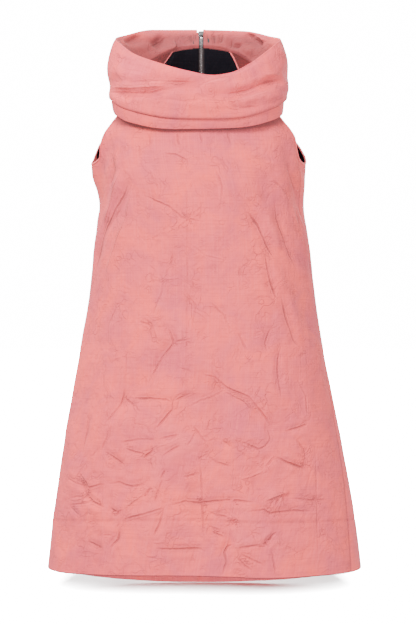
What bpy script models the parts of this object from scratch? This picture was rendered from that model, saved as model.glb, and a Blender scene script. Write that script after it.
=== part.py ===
"""A sleeveless A-line dress in crushed cloth, standing open as it is worn.

The dress hangs from a wide funnel collar that spans the shoulders.  A front
and two back panels flare from the bust to the hem.  The armholes run up under
the collar.  A metal zip closes the back, from the collar's rim to the waist.

Frame: +Z is up and the front faces -Y.  The origin is the middle of the neck
hole, level with the back of the neckline.  Sizes are in millimetres until a
mesh takes its points.
"""

import math

import bmesh
import bpy
from mathutils import Vector

MM = 0.001

# Cloth, and how far the pieces keep apart
SHELL_THICK = 1.2
LINING_THICK = 1.0
TAPE_THICK = 0.8
LAYER_GAP = 0.5
SEAM_HALF_GAP = 0.3
INNER_LAYER = SHELL_THICK + LAYER_GAP
SECOND_LAYER = INNER_LAYER + TAPE_THICK + LAYER_GAP
FACING_LAYER = INNER_LAYER + 0.1
BINDING_LAYER = INNER_LAYER + 0.45
LINING_LAYER = SECOND_LAYER + 1.1

NECK_HALF_WIDTH = 85

# The body, ring by ring: how wide and how deep the cloth stands at a height
ROUNDNESS = 2.2
BODY_RINGS = (
    # height, half_width, centre_x, front_depth, back_depth
    (40, 70, 0, 48, 62),
    (0, NECK_HALF_WIDTH, 0, 55, 75),
    (-40, 106, -3, 63, 92),
    (-80, 131, -5, 81, 104),
    (-120, 154, -5, 101, 111),
    (-156, 170, -4, 119, 114),
    (-192, 175, -2, 131, 113),
    (-225, 173.5, -1.5, 138, 110),
    (-262, 170, 0, 141, 108),
    (-330, 177, 1, 141, 108),
    (-420, 187, 1.5, 143, 113),
    (-500, 200, 1.5, 147, 121),
    (-585, 215.5, 2, 151, 130),
    (-670, 231, 3.5, 156, 140),
    (-750, 244, 5, 161, 149),
    (-862, 258, 6, 167, 161),
    (-920, 263, 6, 170, 166),
)

# The edges of the panels.  A side angle is 0 at the side of the dress,
# -90 at the centre front and 90 at the centre back.
NECK_LEVEL = -42
NECK_TILT = 42
FRONT_NECK_END = -41
BACK_NECK_END = 59
ARMHOLE = (
    # side_angle, height
    (-41, -69.6),
    (-33.4, -122),
    (-24.4, -156),
    (-18, -190),
    (-9, -197),
    (0, -189),
    (9, -176),
    (18.4, -156),
    (30, -136),
    (42.6, -112),
    (47, -75),
    (50, -40),
    (54, -20.5),
    (59, -6),
)
BINDING_WIDTH = 7
BINDING_SET_IN = 0.3
BINDING_THICK = 1.0
HEM_LEVEL = -859
BACK_HEM_DROP = 46
HEM_DROP_POWER = 1.2
HEM_FACING_SIDE = 80
HEM_FACING_FRONT = 88
HEM_FACING_LIFT = 0.6

# The side seams.  The cloth hangs a little twisted, so the seam on the
# wearer's left has come round to the front and the other to the back.
LEFT_SEAM = (
    # height, inset from the outline
    (-190, 9),
    (-262, 4),
    (-420, 3),
    (-520, 3.2),
    (-600, 4.5),
    (-660, 7.8),
    (-750, 14),
    (-862, 22),
)
RIGHT_SEAM = (
    # height, inset from the outline
    (-190, 2),
    (-420, 2),
    (-670, 5),
    (-862, 12),
)

# The largest folds: soft troughs and ridges that fall from the bust and from
# the shoulder blades to the sides
DRAPE_FOLDS = (
    # top_angle, top_height, foot_angle, foot_height, half_width, depth
    (209, -172, 189, -265, 15, -7),
    (196, -168, 181, -225, 10, 4),
    (214, -215, 196, -300, 16, -3),
    (325, -176, 343, -275, 15, -8),
    (337, -168, 350, -215, 10, -4),
    (306, -215, 327, -345, 17, -5),
    (318, -345, 338, -470, 16, -3),
    (212, -430, 203, -600, 18, -3),
    (36, -185, 20, -300, 17, -6),
    (146, -185, 160, -300, 17, -6),
    (62, -330, 48, -620, 26, -5),
    (118, -330, 131, -640, 26, -5),
    (30, -480, 22, -820, 20, 5),
    (155, -500, 163, -820, 20, 5),
    (285, -560, 291, -850, 24, 3),
    (240, -600, 234, -850, 24, 3),
    (292, -268, 312, -365, 11, -4),
    (303, -330, 322, -470, 11, 3.5),
    (268, -538, 303, -636, 9, -4),
    (254, -503, 235, -592, 10, -4),
    (247, -215, 262, -330, 14, 3),
)

# The collar: an inner stand from the neckline to the rim, and an outer fall
# from the rim to the lower edge
STAND_ROWS = (0, 0.1, 0.2, 0.45, 0.72, 1)
STAND_TURN = 2.2
STAND_CROWN = 3
ROLL_RISE = 0.5
COLLAR_COLUMNS = 56
COLLAR_CENTRE_X = -5
COLLAR_CENTRE_Y = -15
STAND_OVERLAP = 3
RIM_HALF_WIDTH = 135
RIM_FRONT = 106
RIM_BACK = 122
RIM_ROUNDNESS = 1.9
RIM_HEIGHTS = (
    # angle, height
    (0, 7),
    (25, 17),
    (55, 33),
    (90, 38),
    (125, 35),
    (155, 19),
    (180, 7),
    (200, -5),
    (220, -26),
    (240, -42),
    (262, -57),
    (281, -64),
    (293, -60),
    (310, -42),
    (325, -22),
    (342, -4),
    (360, 7),
)
COLLAR_FOOT = (
    # angle, height
    (0, -113),
    (90, -119),
    (180, -113),
    (225, -136),
    (262, -149),
    (290, -146),
    (320, -134),
    (360, -113),
)
FALL_RINGS = (
    # share_down, half_width, front_depth, back_depth, roundness
    (0.0, 136.4, 107.4, 123.4, 1.9),
    (0.05, 139.5, 112, 127.5, 1.92),
    (0.2, 145, 117.5, 132, 2.0),
    (0.38, 148, 121, 135, 2.1),
    (0.55, 148, 122, 137, 2.25),
    (0.7, 147, 122, 138.5, 2.45),
    (0.775, 145.8, 121, 138.5, 2.6),
    (0.8, 141.6, 116.5, 134.5, 2.65),
    (0.88, 140.8, 115, 134, 2.75),
    (1.0, 139, 111, 132.5, 2.9),
)
FALL_ROWS = (0, 0.05, 0.13, 0.22, 0.32, 0.42, 0.52, 0.62, 0.71, 0.775, 0.8, 0.88, 1)
COLLAR_FOLDS = (
    # start_angle, start_share, end_angle, end_share, half_width, depth
    (180, 0.62, 226, 0.54, 0.1, -4),
    (226, 0.54, 270, 0.2, 0.1, -4),
    (205, 0.3, 248, 0.3, 0.09, 3),
    (276, 0.38, 312, 0.41, 0.1, -4),
    (312, 0.41, 356, 0.44, 0.1, -5),
    (262, 0.55, 338, 0.6, 0.1, 3),
    (14, 0.42, 62, 0.5, 0.1, -4),
    (104, 0.4, 168, 0.55, 0.1, -4),
)

# The zip
SLIT_HALF_WIDTH = 4
RIM_NOTCH_HALF_WIDTH = 7
RIM_NOTCH_DEPTH = 13
FALL_SLIT_HALF_WIDTH = 4.6
ZIP_FOOT = -420
SLIT_CLOSE = 12
CHAIN_HALF_WIDTH = 3
CHAIN_THICK = 2.2
CHAIN_FOOT = 8
STOP_SIZE = (6.4, 2.4, 4.4)
TAPE_EDGE = 3.35
TAPE_WIDTH = 11
TAPE_FOOT = -436
TAPE_OFF_STAND = 1.1
ZIP_ROW = 9
ZIP_TURN = 1
SLIDER_LENGTH = 12
SLIDER_TOP_HALF = 5.2
SLIDER_FOOT_HALF = 3.6
SLIDER_THICK = 4.4
SLIDER_TOP = 35.5
BAIL_RISE = 3.0
BAIL_REACH = 4.2
BAIL_WIRE = 0.7
TAB_LENGTH = 25
TAB_HALF_WIDTH = 3.4
TAB_THICK = 1.3
TAB_EYE_HALF_WIDTH = 2.0
TAB_EYE_LENGTH = 6.6
TAB_BAR = 0.65

LINING_FOOT = -275
LINING_ROWS = 5
LINING_SET_IN = 3.2
LINING_BELOW_STAND = 1.5
LINING_BESIDE_ZIP = 2.6

# The rows of the panels above the hem's stitching, by their heights at the centre back
PANEL_ROWS = (
    # height, rows down to the next
    (0, 8),
    (-170, 6),
    (ZIP_FOOT, 1),
    (ZIP_FOOT - SLIT_CLOSE, 7),
    (HEM_LEVEL - BACK_HEM_DROP + HEM_FACING_SIDE, 0),
)
HEM_ROWS = 2


def lerp(low, high, share):
    return low + (high - low) * share


def clamp01(value):
    return min(1.0, max(0.0, value))


def smooth(value):
    value = clamp01(value)
    return value * value * (3 - 2 * value)


def curve_between(table, at, column=1):
    """Reads a column of a table at any place, along a smooth curve that doesn't overshoot its rows."""
    rows = sorted(table)
    if at <= rows[0][0]:
        return rows[0][column]
    if at >= rows[-1][0]:
        return rows[-1][column]
    k = next(i for i in range(len(rows) - 1) if rows[i][0] <= at <= rows[i + 1][0])

    def slope(i):
        return (rows[i + 1][column] - rows[i][column]) / (rows[i + 1][0] - rows[i][0])

    def tangent(i):
        if i == 0 or i == len(rows) - 1:
            return slope(min(i, len(rows) - 2))
        before, after = slope(i - 1), slope(i)
        return 0.0 if before * after <= 0 else 2 * before * after / (before + after)

    span = rows[k + 1][0] - rows[k][0]
    t = (at - rows[k][0]) / span
    return (
        (2 * t**3 - 3 * t**2 + 1) * rows[k][column]
        + (t**3 - 2 * t**2 + t) * span * tangent(k)
        + (3 * t**2 - 2 * t**3) * rows[k + 1][column]
        + (t**3 - t**2) * span * tangent(k + 1)
    )


def round_ring(angle, half_width, depth, roundness):
    """A point of a ring that is rounder or squarer than an ellipse."""
    c, s = math.cos(math.radians(angle)), math.sin(math.radians(angle))
    power = 2 / roundness
    return (
        math.copysign(abs(c) ** power * half_width, c),
        math.copysign(abs(s) ** power * depth, s),
    )


def side_angle(angle):
    """Where an angle lies between the centre front, the side and the centre back."""
    return math.degrees(math.asin(math.sin(math.radians(angle))))


def drape(angle, height):
    """How far the large folds push the cloth out."""
    out = 0.0
    for top_angle, top, foot_angle, foot, half_width, depth in DRAPE_FOLDS:
        along = (top - height) / (top - foot)
        if not -0.3 < along < 1.3:
            continue
        middle = lerp(top_angle, foot_angle, along)
        across = ((angle - middle + 180) % 360 - 180) / half_width
        ends = smooth((along + 0.3) / 0.5) * smooth((1.3 - along) / 0.5)
        out += depth * ends * math.exp(-2.2 * across * across)
    return out


def body_point(angle, height, inside=0.0):
    """A point of the dress's outer face, or of a layer that lies inside it."""
    half_width = curve_between(BODY_RINGS, height, 1)
    centre = curve_between(BODY_RINGS, height, 2)
    back = math.sin(math.radians(angle)) > 0
    depth = curve_between(BODY_RINGS, height, 4 if back else 3)
    out = drape(angle, height) - inside
    x, y = round_ring(angle, half_width + out, depth + out, ROUNDNESS)
    return Vector((centre + x, y, height))


def neck_height(angle):
    return NECK_LEVEL + NECK_TILT * math.sin(math.radians(angle))


def top_height(angle):
    """The upper edge of the panels: the neckline, or the armhole between its ends."""
    side = side_angle(angle)
    if FRONT_NECK_END < side < BACK_NECK_END:
        return curve_between(ARMHOLE, side)
    return neck_height(angle)


def hem_height(angle):
    behind = max(0.0, math.sin(math.radians(angle)))
    return HEM_LEVEL - BACK_HEM_DROP * behind**HEM_DROP_POWER


def stitch_height(angle):
    """The line that the deep hem is sewn along."""
    front = max(0.0, -math.sin(math.radians(angle)))
    return hem_height(angle) + lerp(HEM_FACING_SIDE, HEM_FACING_FRONT, front)


def seam_angle(table, height, sign):
    """The angle of a side seam: the sign is -1 where it has come to the front."""
    half_width = curve_between(BODY_RINGS, height, 1)
    share = 1 - curve_between(table, height) / half_width
    return sign * math.degrees(math.acos(share ** (ROUNDNESS / 2)))


def left_seam(height):
    return seam_angle(LEFT_SEAM, height, -1)


def right_seam(height):
    return 180 - seam_angle(RIGHT_SEAM, height, 1)


def back_angle(x, height):
    """Where on a ring the back lies at this x."""
    half_width = curve_between(BODY_RINGS, height, 1)
    aside = x - curve_between(BODY_RINGS, height, 2)
    turn = math.degrees(math.asin((abs(aside) / half_width) ** (ROUNDNESS / 2)))
    return 90 - math.copysign(turn, aside)


def centre_back(sign):
    """The edge of the zip's slit, which closes to a seam below the zip."""

    def edge(height):
        closed = smooth((ZIP_FOOT - height) / SLIT_CLOSE)
        return back_angle(sign * lerp(SLIT_HALF_WIDTH, SEAM_HALF_GAP, closed), height)

    return edge


def beside_tape(sign):
    """A line down the back, just past the edge of the zip's tape."""
    return lambda height: back_angle(sign * (TAPE_EDGE + TAPE_WIDTH + 1), height)


def panel_column(angle_at, share):
    """The angle and height of a point of a column.

    The share is -1 at the hem, 0 at the hem's stitching and 1 at the upper edge.
    """
    height = HEM_LEVEL
    for _ in range(5):
        angle = angle_at(height)
        stitching = stitch_height(angle)
        if share < 0:
            height = lerp(hem_height(angle), stitching, share + 1)
        else:
            height = lerp(stitching, top_height(angle), share)
    return angle, height


def spread_columns(*stops):
    """Columns between stops: each stop is a function of height, and the columns up to the next."""
    columns = []
    for (start, count), (end, _) in zip(stops, stops[1:]):
        for k in range(count):
            columns.append(
                lambda height, a=start, b=end, t=k / count: lerp(a(height), b(height), t)
            )
    return [*columns, stops[-1][0]]


def at(angle):
    return lambda height: angle


FRONT_COLUMNS = spread_columns(
    (right_seam, 3),
    (at(198), 6),
    (at(180 - FRONT_NECK_END), 12),
    (at(360 + FRONT_NECK_END), 6),
    (lambda height: 360 + left_seam(height), 0),
)
BACK_LEFT_COLUMNS = spread_columns(
    (left_seam, 4),
    (at(12), 4),
    (at(34), 5),
    (at(BACK_NECK_END), 3),
    (beside_tape(1), 1),
    (centre_back(1), 0),
)
BACK_RIGHT_COLUMNS = spread_columns(
    (centre_back(-1), 1),
    (beside_tape(-1), 3),
    (at(180 - BACK_NECK_END), 5),
    (at(146), 6),
    (right_seam, 0),
)


def row_heights():
    """The heights of the rows at the centre back, from the hem's stitching up."""
    heights = [PANEL_ROWS[-1][0]]
    for (start, count), (end, _) in reversed(list(zip(PANEL_ROWS, PANEL_ROWS[1:]))):
        heights += [lerp(end, start, (k + 1) / count) for k in range(count)]
    return heights


def row_shares():
    """How far up its column each row of a panel lies, from the stitching up."""
    heights = row_heights()
    return [(height - heights[0]) / (heights[-1] - heights[0]) for height in heights]


def hem_shares():
    return [k / HEM_ROWS - 1 for k in range(HEM_ROWS)]


def from_edge(angle, width):
    """How far down a column leads this far in from a panel's upper edge."""
    left, right = [body_point(angle + side, top_height(angle + side)) for side in (-1, 1)]
    rise = abs(right.z - left.z) / math.dist(left.xy, right.xy)
    return width * min(4.0, math.hypot(1, rise))


def armhole_columns(*panels):
    """The columns that end at one armhole, from two panels that meet at the side seam."""
    columns = []
    for panel in panels:
        for column in panel:
            ends = side_angle(panel_column(column, 1)[0])
            if FRONT_NECK_END <= ends <= BACK_NECK_END:
                columns.append(column)
        seam = columns.pop()
    return [*columns, seam]


def make_material(name, color, roughness, metallic=0.0):
    material = bpy.data.materials.new(name)
    material.use_nodes = True
    shader = material.node_tree.nodes["Principled BSDF"]
    shader.inputs["Base Color"].default_value = (*color, 1)
    shader.inputs["Roughness"].default_value = roughness
    shader.inputs["Metallic"].default_value = metallic
    return material


def keep(piece, name, collection, material):
    """Names an object or a mesh, gives it its material and puts it with the dress."""
    if isinstance(piece, bpy.types.Mesh):
        piece = bpy.data.objects.new(name, piece)
    piece.name = name
    piece.data.name = name
    piece.data.materials.clear()
    piece.data.materials.append(material)
    collection.objects.link(piece)
    return piece


def cloth(name, columns, rows, place, thickness, collection, material):
    """An open grid laid on a surface, given its thickness on the side away from its face."""
    grid = bmesh.new()
    bmesh.ops.create_grid(grid, x_segments=columns, y_segments=rows, size=1)
    for vert in grid.verts:
        column = round((vert.co.x + 1) / 2 * columns)
        row = round((vert.co.y + 1) / 2 * rows)
        vert.co = place(column, row) * MM
    mesh = bpy.data.meshes.new(name)
    grid.to_mesh(mesh)
    grid.free()
    mesh.shade_smooth()
    piece = keep(mesh, name, collection, material)
    wall = piece.modifiers.new("wall", "SOLIDIFY")
    wall.thickness = thickness * MM
    wall.offset = -1
    return piece


def along_ring(point_at, angle, shift):
    """A point moved along its ring, as at the edge of a seam."""
    here = point_at(angle)
    if not shift:
        return here
    ahead = (point_at(angle + 0.4) - point_at(angle - 0.4)).normalized()
    return here + ahead * shift


def edge_shift(column, last, at_start=SEAM_HALF_GAP, at_end=SEAM_HALF_GAP):
    return at_start if column == 0 else -at_end if column == last else 0.0


def make_panel(name, columns, gaps, collection, material):
    """One panel of the shell, from the hem to the armholes and the neckline."""
    last, shares = len(columns) - 1, hem_shares() + row_shares()

    def place(column, row):
        angle, height = panel_column(columns[column], shares[row])
        shift = edge_shift(column, last, *gaps)
        return along_ring(lambda a: body_point(a, height), angle, shift)

    return cloth(name, last, len(shares) - 1, place, SHELL_THICK, collection, material)


def make_hem_facing(name, columns, gaps, collection, material):
    """The deep turn-up inside the hem, sewn along its upper edge."""
    last, shares = len(columns) - 1, [*hem_shares(), 0]

    def place(column, row):
        angle, height = panel_column(columns[column], shares[row])
        height += HEM_FACING_LIFT if row == 0 else 0
        shift = edge_shift(column, last, *gaps)
        return along_ring(lambda a: body_point(a, height, FACING_LAYER), angle, shift)

    return cloth(name, last, HEM_ROWS, place, SHELL_THICK, collection, material)


def make_binding(name, columns, collection, material):
    """The strip that finishes an armhole, folded in along its edge."""
    next_row = row_shares()[-2]

    def place(column, row):
        angle, top = panel_column(columns[column], 1)
        edge = body_point(angle, top, BINDING_LAYER)
        below = body_point(*panel_column(columns[column], next_row), BINDING_LAYER)
        at_end = column in (0, len(columns) - 1)
        set_down = STAND_OVERLAP + 1 if at_end else BINDING_SET_IN
        drop = set_down + from_edge(angle, BINDING_WIDTH) * (1 - row)
        return edge.lerp(below, min(0.95, drop / (edge.z - below.z)))

    return cloth(name, len(columns) - 1, 1, place, BINDING_THICK, collection, material)


def make_lining(name, columns, gaps, collection, material):
    """The dark lining inside the upper back, set in a little from the armhole."""
    last, shares = len(columns) - 1, row_shares()[-3:]

    def place(column, row):
        angle, height = panel_column(columns[column], shares[max(0, row - LINING_ROWS)])
        if row < LINING_ROWS:
            height = lerp(LINING_FOOT, height, row / LINING_ROWS)
            angle = columns[column](height)
        elif row == LINING_ROWS + 2:
            in_armhole = FRONT_NECK_END < side_angle(angle) < BACK_NECK_END
            under_stand = STAND_OVERLAP + LINING_BELOW_STAND
            height -= from_edge(angle, LINING_SET_IN) if in_armhole else under_stand
        shift = edge_shift(column, last, *gaps)
        return along_ring(lambda a: body_point(a, height, LINING_LAYER), angle, shift)

    return cloth(name, last, LINING_ROWS + 2, place, LINING_THICK, collection, material)


def rim_point(angle):
    x, y = round_ring(
        angle,
        RIM_HALF_WIDTH,
        RIM_BACK if math.sin(math.radians(angle)) > 0 else RIM_FRONT,
        RIM_ROUNDNESS,
    )
    height = curve_between(RIM_HEIGHTS, angle % 360)
    return Vector((COLLAR_CENTRE_X + x, COLLAR_CENTRE_Y + y, height))


def stand_point(angle, share):
    """The outer face of the stand: up inside the neckline, then out to the rim."""
    neck = body_point(angle, neck_height(angle) - STAND_OVERLAP, SECOND_LAYER)
    clear = body_point(angle, neck_height(angle) + STAND_TURN, SECOND_LAYER)
    if share < STAND_ROWS[1]:
        return neck.lerp(clear, share / STAND_ROWS[1])
    part = (share - STAND_ROWS[1]) / (1 - STAND_ROWS[1])
    point = clear.lerp(rim_point(angle), part)
    point.z += STAND_CROWN * math.sin(math.pi * part) * part
    return point


def collar_foot(angle):
    return curve_between(COLLAR_FOOT, angle % 360)


def collar_fold(angle, share):
    """How far the collar's own folds push it out."""
    out = 0.0
    for start_angle, start, end_angle, end, half_width, depth in COLLAR_FOLDS:
        along = (angle % 360 - start_angle) / (end_angle - start_angle)
        if not -0.2 < along < 1.2:
            continue
        across = (share - lerp(start, end, along)) / half_width
        ends = smooth((along + 0.2) / 0.4) * smooth((1.2 - along) / 0.4)
        out += depth * ends * math.exp(-across * across)
    return out * smooth(share / 0.12) * smooth((0.8 - share) / 0.1)


def fall_point(angle, share):
    """The outer face of the fall, which rolls out from the rim and hangs to its lower edge."""
    ring = [curve_between(FALL_RINGS, share, k) for k in range(1, 5)]
    half_width, front, back, roundness = ring
    depth = back if math.sin(math.radians(angle)) > 0 else front
    out = collar_fold(angle, share)
    x, y = round_ring(angle, half_width + out, depth + out, roundness)
    height = lerp(rim_point(angle).z + ROLL_RISE, collar_foot(angle), share)
    return Vector((COLLAR_CENTRE_X + x, COLLAR_CENTRE_Y + y, height))


def slit_angle(half_gap, half_width, share):
    """An angle this share of the way round, from one edge of the slit at the back to the other."""
    turn = math.degrees(math.asin((half_gap / half_width) ** (RIM_ROUNDNESS / 2)))
    return lerp(90 + turn, 450 - turn, share)


def slit_gap(depth_below_rim, plain):
    return lerp(RIM_NOTCH_HALF_WIDTH, plain, smooth(depth_below_rim / RIM_NOTCH_DEPTH))


def make_stand(collection, material):
    columns = COLLAR_COLUMNS

    def place(column, row):
        share = STAND_ROWS[row]
        start = stand_point(90, share)
        gap = slit_gap(rim_point(90).z - start.z, SLIT_HALF_WIDTH)
        angle = slit_angle(gap, lerp(NECK_HALF_WIDTH, RIM_HALF_WIDTH, share), column / columns)
        return centred_slit(stand_point(angle, share), column, columns, gap)

    rows = len(STAND_ROWS) - 1
    return cloth("collar_stand", columns, rows, place, SHELL_THICK, collection, material)


def make_fall(collection, material):
    columns, rows = COLLAR_COLUMNS, len(FALL_ROWS) - 1

    def place(column, row):
        share = FALL_ROWS[rows - row]
        start = fall_point(90, share)
        gap = slit_gap(rim_point(90).z - start.z, FALL_SLIT_HALF_WIDTH)
        angle = slit_angle(gap, RIM_HALF_WIDTH, column / columns)
        return centred_slit(fall_point(angle, share), column, columns, gap)

    return cloth("collar_fall", columns, rows, place, SHELL_THICK, collection, material)


def centred_slit(point, column, columns, gap):
    """Puts the two edges of the slit at equal distances from the zip, which runs at x = 0."""
    if column == 0:
        point.x = -gap
    elif column == columns:
        point.x = gap
    return point


def zip_line(height):
    """How far back the middle of the zip's tape lies, and how wide the ring is there."""
    neck = neck_height(90) + ZIP_TURN
    share, step = 0.0, 0.5
    while step > 1e-4:
        if stand_point(90, share + step).z < height and share + step <= 1:
            share += step
        step /= 2
    out = lerp(LAYER_GAP, TAPE_OFF_STAND, smooth((height - neck) / 4)) + TAPE_THICK / 2
    return stand_point(90, share).y + out, lerp(NECK_HALF_WIDTH, RIM_HALF_WIDTH, share)


def zip_point(x, height, out=0.0):
    """A point of the zip: flat across its middle, and curved with the back past its tape's edge."""
    if height <= neck_height(90) + ZIP_TURN:
        inside = INNER_LAYER + TAPE_THICK / 2 - out
        return Vector((x, body_point(back_angle(x, height), height, inside).y, height))
    y, half_width = zip_line(height)
    drop = (1 - abs(x / half_width) ** ROUNDNESS) ** (1 / ROUNDNESS)
    return Vector((x, (y + out) * drop, height))


def zip_heights(top, foot):
    """Rows of the zip: those of the back panels, and closer ones where it runs up the collar."""
    neck = neck_height(90) + ZIP_TURN
    rows = [height for height in row_heights() if foot + 3 < height < neck - 6]
    count = round((top - neck) / ZIP_ROW)
    return [foot, *rows, *[lerp(neck, top, k / count) for k in range(count + 1)]]


def make_tape(name, sign, collection, material):
    heights = zip_heights(SLIDER_TOP - 2, TAPE_FOOT)

    def place(column, row):
        beside = smooth((heights[row] - SLIDER_TOP + SLIDER_LENGTH) / 3)
        inner = lerp(TAPE_EDGE, SLIDER_TOP_HALF + 0.5, beside)
        edges = (TAPE_EDGE + TAPE_WIDTH, inner)
        share = column / 2 if sign > 0 else 1 - column / 2
        return zip_point(sign * lerp(*edges, share), heights[row], TAPE_THICK / 2)

    return cloth(name, 2, len(heights) - 1, place, TAPE_THICK, collection, material)


def make_chain(collection, material):
    tilt = zip_tilt()
    slider_drop = SLIDER_LENGTH * math.cos(tilt) + CHAIN_THICK / 2 * math.sin(tilt)
    heights = zip_heights(SLIDER_TOP - slider_drop - LAYER_GAP, ZIP_FOOT + CHAIN_FOOT)
    across = (CHAIN_HALF_WIDTH, 0, -CHAIN_HALF_WIDTH)

    def place(column, row):
        return zip_point(across[column], heights[row], CHAIN_THICK / 2)

    return cloth("zip_chain", 2, len(heights) - 1, place, CHAIN_THICK, collection, material)


def bevelled(piece, width, segments=2):
    edge = piece.modifiers.new("edge", "BEVEL")
    edge.width = width * MM
    edge.segments = segments
    edge.limit_method = "ANGLE"
    return piece


def outline_plate(name, points, thickness, holes=()):
    """A flat plate in the XZ plane, from its outline."""
    curve = bpy.data.curves.new(name, "CURVE")
    curve.dimensions = "2D"
    curve.fill_mode = "BOTH"
    curve.extrude = thickness / 2 * MM
    for ring in (points, *holes):
        spline = curve.splines.new("POLY")
        spline.points.add(len(ring) - 1)
        for target, (x, z) in zip(spline.points, ring):
            target.co = (x * MM, z * MM, 0, 1)
        spline.use_cyclic_u = True
    return solid_mesh(curve, name)


def solid_mesh(curve, name):
    """The curve's own mesh, with its caps welded on."""
    helper = bpy.data.objects.new(name + "_helper", curve)
    bpy.context.scene.collection.objects.link(helper)
    bpy.context.view_layer.update()
    mesh = bpy.data.meshes.new_from_object(
        helper.evaluated_get(bpy.context.evaluated_depsgraph_get())
    )
    bpy.data.objects.remove(helper)
    bpy.data.curves.remove(curve)
    work = bmesh.new()
    work.from_mesh(mesh)
    bmesh.ops.remove_doubles(work, verts=work.verts, dist=1e-6)
    bmesh.ops.recalc_face_normals(work, faces=work.faces)
    work.to_mesh(mesh)
    work.free()
    return mesh


def zip_tilt():
    """How far the top of the zip leans back, in radians."""
    low, high = zip_line(SLIDER_TOP - SLIDER_LENGTH)[0], zip_line(SLIDER_TOP)[0]
    return math.atan2(high - low, SLIDER_LENGTH)


def slider_frame():
    """The empty that carries the slider: its Z runs up the zip, its -Y faces the neck."""
    middle = SLIDER_TOP - SLIDER_LENGTH / 2 * math.cos(zip_tilt())
    frame = bpy.data.objects.new("slider_frame", None)
    frame.location = Vector((0, zip_line(middle)[0], middle)) * MM
    frame.rotation_euler = (-zip_tilt(), 0, 0)
    return frame


def upright(mesh):
    """Turns a plate drawn in XY so that it stands in XZ."""
    for vert in mesh.vertices:
        x, y, z = vert.co
        vert.co = (x, -z, y)
    return mesh


def make_bail(frame, helpers):
    """The wire bridge that is joined to the slider's outer face."""
    bail = bpy.data.curves.new("bail", "CURVE")
    bail.dimensions = "3D"
    bail.bevel_depth = BAIL_WIRE * MM
    bail.bevel_resolution = 1
    bail.use_fill_caps = True
    spline = bail.splines.new("POLY")
    face, reach, corner = SLIDER_THICK / 2, BAIL_REACH, BAIL_REACH - 1.0
    route = [
        (face - 0.8, -reach),
        (face + BAIL_RISE * 0.6, -reach),
        (face + BAIL_RISE, -corner),
        (face + BAIL_RISE, corner),
        (face + BAIL_RISE * 0.6, reach),
        (face - 0.8, reach),
    ]
    spline.points.add(len(route) - 1)
    for target, (y, z) in zip(spline.points, route):
        target.co = (0, y * MM, z * MM, 1)
    wire = bpy.data.objects.new("slider_bail", solid_mesh(bail, "slider_bail"))
    wire.parent = frame
    wire.hide_render = True
    wire.display_type = "WIRE"
    helpers.objects.link(wire)
    return wire


def make_slider(frame, bail, collection, material):
    """A wedge that is wide at the top, with its bail."""
    half = SLIDER_LENGTH / 2
    outline = [
        (-SLIDER_FOOT_HALF, -half),
        (SLIDER_FOOT_HALF, -half),
        (SLIDER_FOOT_HALF + 0.3, -half * 0.3),
        (SLIDER_TOP_HALF, half * 0.35),
        (SLIDER_TOP_HALF - 0.3, half * 0.8),
        (SLIDER_TOP_HALF - 1.6, half),
        (1.6 - SLIDER_TOP_HALF, half),
        (0.3 - SLIDER_TOP_HALF, half * 0.8),
        (-SLIDER_TOP_HALF, half * 0.35),
        (-SLIDER_FOOT_HALF - 0.3, -half * 0.3),
    ]
    plate = upright(outline_plate("zip_slider", outline, SLIDER_THICK))
    slider = keep(plate, "zip_slider", collection, material)
    slider.parent = frame
    bevelled(slider, 0.6)
    join = slider.modifiers.new("bail", "BOOLEAN")
    join.operation = "UNION"
    join.object = bail
    return slider


def bail_centre(frame):
    """The line that the pull tab turns about: it lies under the bail, near its lower leg."""
    under = Vector((0, SLIDER_THICK / 2 + (BAIL_RISE - BAIL_WIRE) / 2, -1.6))
    turned = frame.rotation_euler.to_matrix() @ under
    return frame.location / MM + turned


def make_pull_tab(frame, collection, material):
    """A flat tab with an eye.  Its top bar runs under the bail and turns there."""
    shoulder = TAB_EYE_LENGTH + 2
    outline = [
        (-TAB_HALF_WIDTH, -TAB_BAR),
        (TAB_HALF_WIDTH, -TAB_BAR),
        (TAB_HALF_WIDTH, shoulder),
        (TAB_HALF_WIDTH - 0.7, shoulder + 2),
        (TAB_HALF_WIDTH - 0.4, TAB_LENGTH - 2),
        (TAB_HALF_WIDTH - 1.6, TAB_LENGTH),
        (1.6 - TAB_HALF_WIDTH, TAB_LENGTH),
        (0.4 - TAB_HALF_WIDTH, TAB_LENGTH - 2),
        (0.7 - TAB_HALF_WIDTH, shoulder + 2),
        (-TAB_HALF_WIDTH, shoulder),
    ]
    eye = [
        (-TAB_EYE_HALF_WIDTH, TAB_BAR),
        (TAB_EYE_HALF_WIDTH, TAB_BAR),
        (TAB_EYE_HALF_WIDTH, TAB_BAR + TAB_EYE_LENGTH),
        (-TAB_EYE_HALF_WIDTH, TAB_BAR + TAB_EYE_LENGTH),
    ]
    hanging = [[(x, -z) for x, z in ring] for ring in (outline, eye)]
    mesh = upright(outline_plate("zip_pull_tab", hanging[0], TAB_THICK, hanging[1:]))
    tab = keep(mesh, "zip_pull_tab", collection, material)
    tab.location = bail_centre(frame) * MM
    bevelled(tab, 0.25, 1)
    return tab


def make_bottom_stop(collection, material):
    """The small block that ends the zip's chain."""
    height = ZIP_FOOT + CHAIN_FOOT - STOP_SIZE[2] / 2 - LAYER_GAP
    bpy.ops.mesh.primitive_cube_add(size=1, location=zip_point(0, height) * MM)
    stop = bpy.context.object
    stop.scale = Vector(STOP_SIZE) * MM
    bpy.ops.object.transform_apply(location=False, rotation=False, scale=True)
    for owner in stop.users_collection:
        owner.objects.unlink(stop)
    return bevelled(keep(stop, "zip_bottom_stop", collection, material), 0.5)


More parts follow.
